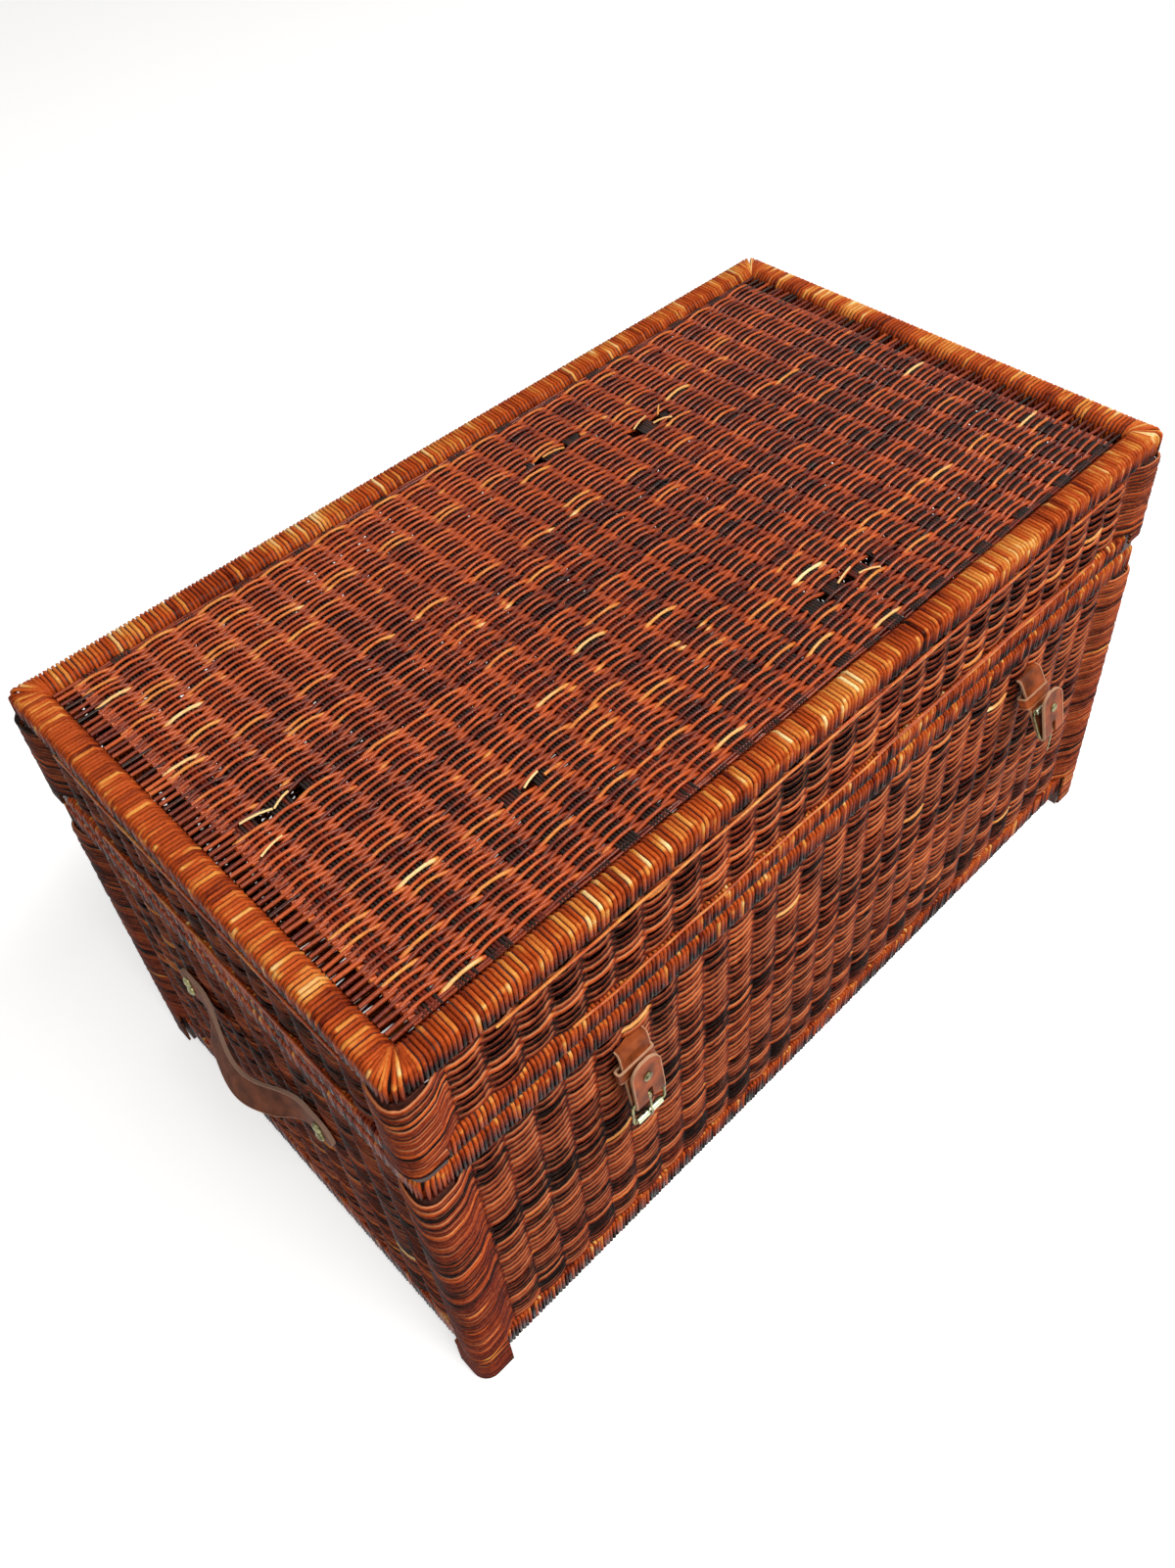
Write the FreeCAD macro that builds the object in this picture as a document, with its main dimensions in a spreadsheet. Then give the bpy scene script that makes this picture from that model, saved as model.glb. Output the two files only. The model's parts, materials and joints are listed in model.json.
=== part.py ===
import FreeCAD, Part
import Sketcher
import math
import os

os.makedirs("parts", exist_ok=True)
doc = FreeCAD.newDocument("wicker_chest")

# Driving dimensions, in millimetres and degrees
sizes = doc.addObject("Spreadsheet::Sheet", "sizes")
sheet_rows = []


def dimension(name, value, meaning):
    row = len(sheet_rows) + 1
    sheet_rows.append(name)
    sizes.set("A%d" % row, meaning)
    sizes.set("B%d" % row, str(value))
    sizes.setAlias("B%d" % row, name)


dimension("length", 914, "chest over the rails, left to right")
dimension("depth", 510, "chest over the rails, front to back")
dimension("height", 520, "floor to the top of the lid's frame")
dimension("lid_height", 134.7, "closed lid, underside to the top of its frame")
dimension("seam_gap", 0.3, "daylight between closed lid and rim")
dimension("foot_height", 22, "floor to the underside of the base rails")
dimension("rail_width", 28, "width of a rail, wrap included")
dimension("rail_round", 7, "rounding of a wrapped rail's long edges")
dimension("rail_corner", 9, "rounded corner of the rim and of the lid's frame, in plan")
dimension("base_rail_height", 28, "base rail")
dimension("rim_height", 30, "body rim rail")
dimension("lid_rail_height", 26, "lower rail of the lid")
dimension("top_rail_height", 26, "upper rail of the lid")
dimension("post_inset", 2, "corner post behind the rails' outer plane")
dimension("post_round", 10, "outer edge of a corner post")
dimension("turn_proud", 4, "woven corner in front of the rails' outer plane")
dimension("turn_reach", 34, "flat part of a woven corner, from the rails' outer plane")
dimension("turn_end", 46, "where a woven corner meets the wall")
dimension("foot_weave_gap", 6, "floor to the woven cover of a foot")
dimension("cover_chamfer", 4, "lower edge of a foot's or lid corner's woven cover")
dimension("foot_weave_reach", 30, "foot cover along the wall")
dimension("lid_turn_lift", 15, "lid's underside to the end of its woven corners")
dimension("wall_inset", 7.5, "middle of a woven wall behind the rails' outer plane")
dimension("wall_valley", 1.8, "half thickness of a woven wall between stakes")
dimension("wall_crest", 6.2, "half thickness of a woven wall over a stake")
dimension("stake_flat", 9, "flat crest of the weave over a stake")
dimension("long_wall_stakes", 27, "stakes in a long wall")
dimension("short_wall_stakes", 14, "stakes in a short wall")
dimension("top_panel_drop", 3, "lid's frame above the crest of its panel")
dimension("top_panel_valley", 1.8, "half thickness of the lid's panel between stakes")
dimension("top_panel_crest", 4.6, "half thickness of the lid's panel over a stake")
dimension("top_panel_strip", 17, "open strip at each end of the lid's panel")
dimension("top_panel_stakes", 27, "stakes in the lid's panel")
dimension("strip_bars", 66, "bars across one open strip")
dimension("strip_bar_width", 3.6, "bar across an open strip")
dimension("strip_bar_depth", 3, "thickness of such a bar")
dimension("bottom_thickness", 5.2, "woven bottom")
dimension("batten_width", 30, "batten under the woven bottom")
dimension("batten_height", 12, "batten under the woven bottom")
dimension("batten_spacing", 420, "between the two battens' middles")
dimension("strap_thickness", 3.5, "handle leather")
dimension("strap_width", 32, "handle leather")
dimension("handle_drop", 99, "rim's underside to the middle of the handles' fixed ends")
dimension("grip_half", 80, "half of a handle's free length")
dimension("grip_stretches", 8, "stretches that a grip's bend is made of")
dimension("grip_bow", 17, "how far a grip stands out at its middle")
dimension("grip_sag", 19, "how far a grip hangs down at its middle")
dimension("grip_angle", 20, "how far a grip's lower edge leans out")
dimension("strap_end_length", 34, "fixed end of a handle")
dimension("cut_gap", 0.3, "between a grip and its fixed ends")
dimension("strap_seat", 0.2, "handle end in front of the wall's crest")
dimension("stud_radius", 5.6, "dome of a handle stud")
dimension("stud_dome", 4, "height of that dome")
dimension("head_sides", 16, "sides that a small domed head is made with")
dimension("crown_share", 0.7, "share of a head's height taken by its sloping crown")
dimension("stud_leg_width", 3, "leg of a split stud")
dimension("stud_leg_thickness", 0.8, "leg of a split stud")
dimension("stud_leg_reach", 5, "bent part of a leg, from the stud's middle")
dimension("stud_spacing", 13, "between two studs")
dimension("stud_from_end", 17, "stud to the end of the strap")
dimension("left_buckle_from_end", 201, "left end of the chest to the left buckle's middle")
dimension("right_buckle_from_end", 172, "right end of the chest to the right buckle's middle")
dimension("tab_below_rim", 27, "rim's underside to where the buckle straps leave the weave")
dimension("tab_width", 31, "buckle strap")
dimension("tab_thickness", 2.5, "buckle strap")
dimension("tab_drop", 62, "weave to the buckle's heel bar")
dimension("tip_round", 14, "rounding of a turned-back end")
dimension("flap_length", 49, "turned-back end of a buckle strap")
dimension("left_flap_angle", 9, "left turned-back end away from its strap")
dimension("right_flap_angle", 16, "right turned-back end away from its strap")
dimension("fold_radius", 2, "inside of the fold round the heel bar")
dimension("slot_width", 5, "slot for the prong")
dimension("slot_rise", 11, "height of that slot above the heel bar")
dimension("left_tab_angle", 10, "left buckle strap away from the wall")
dimension("right_tab_angle", 28, "right buckle strap away from the wall")
dimension("root_leg", 24, "root turned down on the inside")
dimension("root_gap", 0.3, "root to swinging strap")
dimension("root_rivet_drop", 14, "rivet below the place where a strap leaves the weave")
dimension("keeper_width", 11, "keeper loop, strip width")
dimension("keeper_thickness", 2, "keeper loop, leather")
dimension("keeper_rise", 34, "keeper above the heel bar")
dimension("left_keeper_inside", 40, "left keeper, inner width")
dimension("left_keeper_depth", 4.2, "left keeper, inner depth")
dimension("left_keeper_shift", 3, "left keeper pushed sideways")
dimension("right_keeper_inside", 34, "right keeper, inner width")
dimension("right_keeper_depth", 9, "right keeper, inner depth")
dimension("right_keeper_shift", 1, "right keeper pushed sideways")
dimension("rivet_radius", 4.6, "head of a flap rivet")
dimension("rivet_height", 1.6, "that head's height")
dimension("rivet_rise", 29, "rivet above the heel bar")
dimension("wire_radius", 1.5, "bars of a buckle frame, half the thickness of its sides")
dimension("frame_inside", 32.6, "frame between its sides")
dimension("frame_drop", 28, "heel bar to roller")
dimension("frame_bend", 4, "rounded corner of the frame")
dimension("right_frame_angle", 177, "right frame turned up from its strap's direction")
dimension("prong_rest_angle", 4, "prong in front of the frame, resting on its roller")
dimension("roller_radius", 3, "buckle roller")
dimension("roller_length", 24, "buckle roller")
dimension("turning_gap", 0.08, "play of a turning fit on the radius")
dimension("prong_radius", 1.2, "thickness of a prong, half its width")
dimension("prong_reach", 31, "prong from heel bar to tip")
dimension("prong_eye_width", 3.6, "prong's eye along the heel bar")
dimension("hinge_spacing", 560, "between the two hinges' middles")
dimension("hinge_back", 4.5, "pin behind the rails' outer plane")
dimension("leaf_half", 20, "half the length of a hinge")
dimension("leaf_thickness", 1.5, "hinge leaf")
dimension("leaf_height", 22, "edge of a hinge leaf from the pin")
dimension("leaf_start", 4.5, "plates from the pin")
dimension("knuckle_radius", 3.2, "hinge knuckle")
dimension("knuckle_gap", 0.3, "between knuckles")
dimension("pin_radius", 1.6, "hinge pin")
dimension("heel_length", 10, "stop heel of a lid leaf")
dimension("heel_gap", 0.1, "stop heel off the body leaf when open")
dimension("open_angle", 100, "lid fully open")
dimension("frame_shift", 11, "chest moved back, so that buckles and hinges reach equally far from the origin")
doc.recompute()


# Worked out from the driving dimensions
HALF_LENGTH = "sizes.length / 2"
HALF_DEPTH = "sizes.depth / 2"
LID_BOTTOM = "(sizes.height - sizes.lid_height)"
RIM_TOP = "(%s - sizes.seam_gap)" % LID_BOTTOM
RIM_BOTTOM = "(%s - sizes.rim_height)" % RIM_TOP
BASE_TOP = "(sizes.foot_height + sizes.base_rail_height)"
LID_RAIL_TOP = "(%s + sizes.lid_rail_height)" % LID_BOTTOM
TOP_RAIL_BOTTOM = "(sizes.height - sizes.top_rail_height)"
TURN_THICKNESS = "(sizes.turn_proud + sizes.post_inset)"
CREST_INSET = "(sizes.wall_inset - sizes.wall_crest)"
STRAP_PLANE = "(%s - sizes.strap_seat)" % CREST_INSET
HANDLE_LEVEL = "(%s - sizes.handle_drop)" % RIM_BOTTOM
TAB_LEVEL = "(%s - sizes.tab_below_rim)" % RIM_BOTTOM
BUCKLE_AT = {
    "left": "(sizes.left_buckle_from_end - %s)" % HALF_LENGTH,
    "right": "(%s - sizes.right_buckle_from_end)" % HALF_LENGTH,
}
FOLD_OUTSIDE = "(sizes.fold_radius + sizes.tab_thickness)"
FOLD_MIDDLE = "(sizes.fold_radius + sizes.tab_thickness / 2)"

# Each wall: turn about the vertical, half its length, distance of its outer plane, its stakes
WALLS = {
    "front": (0, HALF_LENGTH, HALF_DEPTH, "sizes.long_wall_stakes"),
    "right": (90, HALF_DEPTH, HALF_LENGTH, "sizes.short_wall_stakes"),
    "back": (180, HALF_LENGTH, HALF_DEPTH, "sizes.long_wall_stakes"),
    "left": (270, HALF_DEPTH, HALF_LENGTH, "sizes.short_wall_stakes"),
}

UP = FreeCAD.Vector(0, 0, 1)
ACROSS = FreeCAD.Vector(1, 0, 0)
finished = []


def value(expression):
    answer = sizes.evalExpression(str(expression).replace("sizes.", ""))
    return float(getattr(answer, "Value", answer))


def bind(thing, **settings):
    for name, expression in settings.items():
        thing.setExpression(name.replace("__", "."), str(expression))


def move_to(thing, x=None, y=None, z=None):
    for axis, expression in (("x", x), ("y", y), ("z", z)):
        if expression is not None:
            thing.setExpression("Placement.Base." + axis, str(expression))


def turn_about(thing, axis, angle):
    thing.Placement = FreeCAD.Placement(FreeCAD.Vector(), FreeCAD.Rotation(axis, 1))
    thing.setExpression("Placement.Rotation.Angle", str(angle))


def turned(thing, axis, degrees):
    thing.Placement = FreeCAD.Placement(FreeCAD.Vector(), FreeCAD.Rotation(axis, degrees))


def name_part(thing, label):
    in_frame = gather(label + "_in_frame", [thing])
    move_to(in_frame, y="sizes.frame_shift")
    in_frame.Label = label
    finished.append(in_frame)


def new_body(name):
    body = doc.addObject("PartDesign::Body", name)
    body.AllowCompound = True
    return body


def plane_of(body, role):
    return [thing for thing in body.Origin.OriginFeatures if thing.Role == role][0]


def new_sketch(body, name, role, level="0"):
    sketch = body.newObject("Sketcher::SketchObject", name)
    sketch.AttachmentSupport = [(plane_of(body, role), "")]
    sketch.MapMode = "FlatFace"
    if level != "0":
        sketch.setExpression("AttachmentOffset.Base.z", str(level))
    return sketch


def hold(sketch, kind, geometry, point, expression):
    number = sketch.addConstraint(Sketcher.Constraint(kind, -1, 1, geometry, point, value(expression)))
    if str(expression) != "0":
        sketch.setExpression("Constraints[%d]" % number, str(expression))


def draw(sketch, steps):
    """Draws a closed outline. A step is (x, y) for the corner a line runs to, or
    (x, y, centre x, centre y, radius, clockwise, held) for an arc, of whose two ends only
    the coordinates named in held are fixed."""
    corners = [(value(step[0]), value(step[1])) for step in steps]
    starts = []
    ends = []
    for index, step in enumerate(steps):
        before = FreeCAD.Vector(*corners[index - 1], 0)
        after = FreeCAD.Vector(*corners[index], 0)
        if len(step) == 2:
            number = sketch.addGeometry(Part.LineSegment(before, after), False)
            starts.append((number, 1))
            ends.append((number, 2))
            continue
        centre = FreeCAD.Vector(value(step[2]), value(step[3]), 0)
        circle = Part.Circle(centre, UP, value(step[4]))
        first = math.atan2(before.y - centre.y, before.x - centre.x)
        last = math.atan2(after.y - centre.y, after.x - centre.x)
        if step[5]:
            arc = Part.ArcOfCircle(circle, last, first)
        else:
            arc = Part.ArcOfCircle(circle, first, last)
        number = sketch.addGeometry(arc, False)
        starts.append((number, 2 if step[5] else 1))
        ends.append((number, 1 if step[5] else 2))
    for index, step in enumerate(steps):
        after = (index + 1) % len(steps)
        sketch.addConstraint(Sketcher.Constraint("Coincident", *ends[index], *starts[after]))
    for index, step in enumerate(steps):
        following = steps[(index + 1) % len(steps)]
        held = "xy"
        if len(step) == 7:
            held = step[6][1]
        elif len(following) == 7:
            held = following[6][0]
        if "x" in held:
            hold(sketch, "DistanceX", *ends[index], step[0])
        if "y" in held:
            hold(sketch, "DistanceY", *ends[index], step[1])
        if len(step) == 7:
            number = ends[index][0]
            hold(sketch, "DistanceX", number, 3, step[2])
            hold(sketch, "DistanceY", number, 3, step[3])
            radius = sketch.addConstraint(Sketcher.Constraint("Radius", number, value(step[4])))
            sketch.setExpression("Constraints[%d]" % radius, str(step[4]))


def rectangle(sketch, left, right, low, high):
    draw(sketch, [(right, low), (right, high), (left, high), (left, low)])


def pad(body, sketch, name, height):
    feature = body.newObject("PartDesign::Pad", name)
    feature.Profile = sketch
    feature.setExpression("Length", str(height))
    sketch.Visibility = False
    doc.recompute()
    return feature


def repeat(body, name, feature, sketch, direction, length, count):
    pattern = body.newObject("PartDesign::LinearPattern", name)
    pattern.Originals = [feature]
    pattern.Direction = (sketch, [direction])
    body.Tip = pattern
    pattern.setExpression("Length", str(length))
    pattern.setExpression("Occurrences", str(count))
    doc.recompute()
    return pattern


def fillet(body, name, feature, radius, wanted):
    edges = []
    for number, edge in enumerate(feature.Shape.Edges):
        if wanted(edge):
            edges.append("Edge%d" % (number + 1))
    rounding = body.newObject("PartDesign::Fillet", name)
    rounding.Base = (feature, edges)
    rounding.setExpression("Radius", str(radius))
    doc.recompute()
    return rounding


def runs_along(edge, direction):
    if not isinstance(edge.Curve, Part.Line):
        return False
    return abs(abs(edge.Curve.Direction.dot(direction)) - 1) < 1e-6


def near(point, x=None, y=None, z=None):
    close = value("sizes.seam_gap") / 3
    for here, wanted in ((point.x, x), (point.y, y), (point.z, z)):
        if wanted is not None and abs(here - value(wanted)) > close:
            return False
    return True


def box(name, x, y, z, wide, deep, high):
    solid = doc.addObject("Part::Box", name)
    bind(solid, Length=wide, Width=deep, Height=high)
    move_to(solid, x, y, z)
    return solid


def cylinder(name, radius, height, axis=UP, x="0", y="0", z="0"):
    solid = doc.addObject("Part::Cylinder", name)
    bind(solid, Radius=radius, Height=height)
    solid.Placement = FreeCAD.Placement(FreeCAD.Vector(), FreeCAD.Rotation(UP, axis))
    move_to(solid, x, y, z)
    return solid


def fuse(name, solids):
    whole = doc.addObject("Part::MultiFuse", name)
    whole.Shapes = solids
    whole.Refine = True
    return whole


def cut(name, base, tool):
    whole = doc.addObject("Part::Cut", name)
    whole.Base = base
    whole.Tool = tool
    return whole


def gather(name, things):
    whole = doc.addObject("Part::Compound", name)
    whole.Links = things
    return whole


def mirrored(name, thing, normal):
    copy = doc.addObject("Part::Mirroring", name)
    copy.Source = thing
    copy.Normal = normal
    return copy


def at_four_corners(name, thing):
    other_end = mirrored(name + "_other_end", thing, ACROSS)
    one_side = gather(name + "_one_side", [thing, other_end])
    other_side = mirrored(name + "_other_side", one_side, FreeCAD.Vector(0, 1, 0))
    return gather(name + "_all", [one_side, other_side])


def from_end(half, distance):
    return "%s - %s" % (half, distance)


# Wrapped rails, mitred at the corners or fitted between the posts
def mitred_rail(label, side, level, height, round_inside):
    angle, half, plane, _ = WALLS[side]
    body = new_body(label + "_body")
    sketch = new_sketch(body, label + "_plan", "XY_Plane", level)
    inner_half = from_end(half, "sizes.rail_width")
    inner = "-(%s - sizes.rail_width)" % plane
    bend = "(%s - sizes.rail_corner)" % half
    outer = "(-(%s) + sizes.rail_corner / 2)" % plane
    mitre = "(%s - sizes.rail_corner / 2)" % half
    draw(sketch, [
        (bend, "-(%s)" % plane),
        (mitre, outer),
        (inner_half, inner),
        ("-(%s)" % inner_half, inner),
        ("-%s" % mitre, outer),
        ("-%s" % bend, "-(%s)" % plane),
    ])
    bar = pad(body, sketch, label + "_bar", height)
    if round_inside:
        bar = fillet(
            body, label + "_inner_rounding", bar, "sizes.rail_round",
            lambda edge: runs_along(edge, ACROSS) and near(edge.CenterOfMass, y=inner),
        )
    fillet(
        body, label + "_rounding", bar, "sizes.rail_round",
        lambda edge: isinstance(edge.Curve, Part.Line)
        and not runs_along(edge, UP)
        and edge.CenterOfMass.y < value(outer),
    )
    turned(body, UP, angle)
    name_part(body, label)


def fitted_rail(label, side, level, height, inset):
    angle, half, plane, _ = WALLS[side]
    body = new_body(label + "_body")
    sketch = new_sketch(body, label + "_plan", "XY_Plane", level)
    inner_half = from_end(half, "sizes.rail_width")
    rectangle(
        sketch,
        "-(%s)" % inner_half,
        inner_half,
        "-(%s - %s)" % (plane, inset),
        "-(%s - sizes.rail_width)" % plane,
    )
    bar = pad(body, sketch, label + "_bar", height)
    fillet(
        body, label + "_rounding", bar, "sizes.rail_round",
        lambda edge: runs_along(edge, ACROSS) and near(edge.CenterOfMass, y="-(%s - %s)" % (plane, inset)),
    )
    turned(body, UP, angle)
    name_part(body, label)


# Square corner posts with a rounded outer edge, from one level to another
def corner_posts(label, level, height):
    body = new_body(label + "_body")
    sketch = new_sketch(body, label + "_plan", "XY_Plane", level)
    outer_x = from_end(HALF_LENGTH, "sizes.post_inset")
    inner_x = from_end(HALF_LENGTH, "sizes.rail_width")
    outer_y = from_end(HALF_DEPTH, "sizes.post_inset")
    inner_y = from_end(HALF_DEPTH, "sizes.rail_width")
    rectangle(sketch, inner_x, outer_x, inner_y, outer_y)
    post = pad(body, sketch, label + "_post", height)
    fillet(
        body, label + "_outer_edge", post, "sizes.post_round",
        lambda edge: runs_along(edge, UP) and near(edge.CenterOfMass, outer_x, outer_y),
    )
    name_part(at_four_corners(label, body), label)


# Woven corners, where the strands of two walls turn round a post
def woven_corners(label, level, height, skirt, skirt_height, reach):
    def across(distance):
        return from_end(HALF_LENGTH, distance)

    def along(distance):
        return from_end(HALF_DEPTH, distance)

    valley = "(sizes.wall_inset - sizes.wall_valley)"
    inner_valley = "(sizes.wall_inset + sizes.wall_valley)"
    body = new_body(label + "_body")
    sketch = new_sketch(body, label + "_plan", "XY_Plane", level)
    draw(sketch, [
        (across("sizes.turn_reach"), along("-sizes.turn_proud")),
        (across("sizes.turn_end"), along(valley)),
        (across("sizes.turn_end"), along(inner_valley)),
        (across("sizes.rail_width"), along(inner_valley)),
        (across("sizes.rail_width"), along("sizes.post_inset")),
        (across("sizes.post_inset"), along("sizes.post_inset")),
        (across("sizes.post_inset"), along("sizes.rail_width")),
        (across(inner_valley), along("sizes.rail_width")),
        (across(inner_valley), along("sizes.turn_end")),
        (across(valley), along("sizes.turn_end")),
        (across("-sizes.turn_proud"), along("sizes.turn_reach")),
        (across("-sizes.turn_proud"), along("-sizes.turn_proud")),
    ])
    turn = pad(body, sketch, label + "_turn", height)
    cover = new_sketch(body, label + "_cover_plan", "XY_Plane", skirt)
    draw(cover, [
        (across(reach), along("-sizes.turn_proud")),
        (across(reach), along("sizes.post_inset")),
        (across("sizes.post_inset"), along("sizes.post_inset")),
        (across("sizes.post_inset"), along(reach)),
        (across("-sizes.turn_proud"), along(reach)),
        (across("-sizes.turn_proud"), along("-sizes.turn_proud")),
    ])
    turn = pad(body, cover, label + "_cover", skirt_height)
    turn = fillet(
        body, label + "_outside", turn, "(sizes.post_round + %s)" % TURN_THICKNESS,
        lambda edge: runs_along(edge, UP)
        and near(edge.CenterOfMass, across("-sizes.turn_proud"), along("-sizes.turn_proud")),
    )
    turn = fillet(
        body, label + "_inside", turn, "sizes.post_round",
        lambda edge: runs_along(edge, UP)
        and near(edge.CenterOfMass, across("sizes.post_inset"), along("sizes.post_inset")),
    )
    chamfer = body.newObject("PartDesign::Chamfer", label + "_lower_edge")
    outermost = value(across("sizes.post_inset"))
    frontmost = value(along("sizes.post_inset"))
    edges = []
    for number, edge in enumerate(turn.Shape.Edges):
        point = edge.CenterOfMass
        if near(point, z=skirt) and (point.x > outermost or point.y > frontmost):
            whole = edge.Length > value("2 * %s" % TURN_THICKNESS)
            if whole:
                edges.append("Edge%d" % (number + 1))
    chamfer.Base = (turn, edges)
    chamfer.setExpression("Size", "sizes.cover_chamfer")
    doc.recompute()
    name_part(at_four_corners(label, body), label)


# Woven walls and panels: a slab whose outer face swells over every stake
def woven_slab(label, half, middle, count, outward, level, height, crest, valley, role="XY_Plane"):
    body = new_body(label + "_body")
    pitch = "(2 * (%s) / %s)" % (half, count)
    sketch = new_sketch(body, label + "_swell_plan", role, level)
    first = "-(%s)" % half
    second = "(-(%s) + %s)" % (half, pitch)
    rise = "(-(%s) + (%s - sizes.stake_flat) / 2)" % (half, pitch)
    fall = "(-(%s) + (%s + sizes.stake_flat) / 2)" % (half, pitch)
    inner = "(%s) - (%s) * %s" % (middle, outward, crest)
    top = "(%s) + (%s) * %s" % (middle, outward, crest)
    low = "(%s) + (%s) * %s" % (middle, outward, valley)
    draw(sketch, [(second, inner), (second, low), (fall, top), (rise, top), (first, low), (first, inner)])
    swell = pad(body, sketch, label + "_swell", height)
    repeat(body, label + "_swells", swell, sketch, "H_Axis", "%s * (%s - 1)" % (pitch, count), count)
    return body


def woven_wall(label, side, level, height):
    angle, half, plane, count = WALLS[side]
    middle = "(-(%s) + sizes.wall_inset)" % plane
    body = woven_slab(
        label, from_end(half, "sizes.turn_end"), middle, count, "-1", level, height,
        "sizes.wall_crest", "sizes.wall_valley",
    )
    turned(body, UP, angle)
    return body


# Body of the chest
for side in WALLS:
    mitred_rail("body_rim_" + side, side, RIM_BOTTOM, "sizes.rim_height", False)
    fitted_rail("base_rail_" + side, side, "sizes.foot_height", "sizes.base_rail_height", "sizes.post_inset")
corner_posts("body_corner_posts", "0", RIM_BOTTOM)
woven_corners(
    "body_woven_corners", BASE_TOP, "%s - %s" % (RIM_BOTTOM, BASE_TOP),
    "sizes.foot_weave_gap", "%s - sizes.foot_weave_gap" % BASE_TOP, "sizes.foot_weave_reach",
)
WALL_HEIGHT = "%s - %s" % (RIM_BOTTOM, BASE_TOP)
name_part(woven_wall("body_wall_back", "back", BASE_TOP, WALL_HEIGHT), "body_wall_back")
name_part(woven_wall("body_wall_left", "left", BASE_TOP, WALL_HEIGHT), "body_wall_left")
name_part(woven_wall("body_wall_right", "right", BASE_TOP, WALL_HEIGHT), "body_wall_right")
plain_front = woven_wall("body_wall_front_plain", "front", BASE_TOP, WALL_HEIGHT)

# The front wall is slit where the buckle straps pass through
slits = []
for name, place in BUCKLE_AT.items():
    slits.append(box(
        name + "_slit",
        "%s - sizes.tab_width / 2" % place,
        "-(%s)" % HALF_DEPTH,
        "%s - sizes.tab_thickness / 2" % TAB_LEVEL,
        "sizes.tab_width", "2 * sizes.wall_inset", "sizes.tab_thickness",
    ))
name_part(cut("front_wall_cut", plain_front, gather("both_slits", slits)), "body_wall_front")

# Woven bottom on two battens, level with the base rails
base_panel = box(
    "bottom", "-(%s - sizes.rail_width)" % HALF_LENGTH, "-(%s - sizes.rail_width)" % HALF_DEPTH,
    "sizes.foot_height + sizes.batten_height",
    "sizes.length - 2 * sizes.rail_width", "sizes.depth - 2 * sizes.rail_width", "sizes.bottom_thickness",
)
name_part(base_panel, "base_panel")
battens = []
for name, side in (("left", "-"), ("right", "+")):
    battens.append(box(
        name + "_batten",
        "%s sizes.batten_spacing / 2 - sizes.batten_width / 2" % side,
        "-(%s - sizes.rail_width)" % HALF_DEPTH,
        "sizes.foot_height",
        "sizes.batten_width", "sizes.depth - 2 * sizes.rail_width", "sizes.batten_height",
    ))
name_part(gather("both_battens", battens), "base_battens")

# Lid
for side in WALLS:
    mitred_rail("lid_top_rail_" + side, side, TOP_RAIL_BOTTOM, "sizes.top_rail_height", True)
    fitted_rail("lid_lower_rail_" + side, side, LID_BOTTOM, "sizes.lid_rail_height", "0")
corner_posts("lid_corner_posts", LID_BOTTOM, "%s - %s" % (TOP_RAIL_BOTTOM, LID_BOTTOM))
woven_corners(
    "lid_woven_corners", LID_RAIL_TOP, "%s - %s" % (TOP_RAIL_BOTTOM, LID_RAIL_TOP),
    "(%s + sizes.lid_turn_lift)" % LID_BOTTOM, "sizes.lid_rail_height - sizes.lid_turn_lift", "sizes.rail_width",
)
for side in WALLS:
    wall = woven_wall("lid_wall_" + side, side, LID_RAIL_TOP, "%s - %s" % (TOP_RAIL_BOTTOM, LID_RAIL_TOP))
    name_part(wall, "lid_wall_" + side)

# Lid's panel: woven slab, open strip of bars at both ends
TOP_MIDDLE = "(sizes.height - sizes.top_panel_drop - sizes.top_panel_crest)"
PANEL_HALF = "(%s - sizes.rail_width - sizes.top_panel_strip)" % HALF_LENGTH
top_panel = woven_slab(
    "lid_panel", PANEL_HALF, TOP_MIDDLE, "sizes.top_panel_stakes", "1",
    "-(%s - sizes.rail_width)" % HALF_DEPTH, "sizes.depth - 2 * sizes.rail_width",
    "sizes.top_panel_crest", "sizes.top_panel_valley", "XZ_Plane",
)
BAR_SPACING = "((sizes.depth - 2 * sizes.rail_width) / sizes.strip_bars)"
for name, start in (("left", "-(%s) - sizes.top_panel_strip" % PANEL_HALF), ("right", PANEL_HALF)):
    sketch = new_sketch(top_panel, name + "_bar_plan", "XY_Plane", "%s - sizes.strip_bar_depth / 2" % TOP_MIDDLE)
    middle = "(-(%s - sizes.rail_width) + %s / 2)" % (HALF_DEPTH, BAR_SPACING)
    rectangle(
        sketch, start, "%s + sizes.top_panel_strip" % start,
        "%s - sizes.strip_bar_width / 2" % middle, "%s + sizes.strip_bar_width / 2" % middle,
    )
    bar = pad(top_panel, sketch, name + "_bar", "sizes.strip_bar_depth")
    repeat(
        top_panel, name + "_bars", bar, sketch, "V_Axis",
        "%s * (sizes.strip_bars - 1)" % BAR_SPACING, "sizes.strip_bars",
    )
name_part(top_panel, "lid_panel")


# Stop hinges: the heel of the lid's leaf comes to rest on the body's leaf when the lid is open
def hinge_plate(name, low, high):
    return box(
        name, "-sizes.leaf_half", "-sizes.hinge_back", low,
        "2 * sizes.leaf_half", "sizes.leaf_thickness", high,
    )


def knuckle(name, start, length):
    ear = box(
        name + "_ear", start, "-sizes.hinge_back", "0",
        length, "sizes.leaf_thickness", "sizes.leaf_start",
    )
    barrel = cylinder(name + "_barrel", "sizes.knuckle_radius", length, ACROSS, start)
    return ear, barrel


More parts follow.
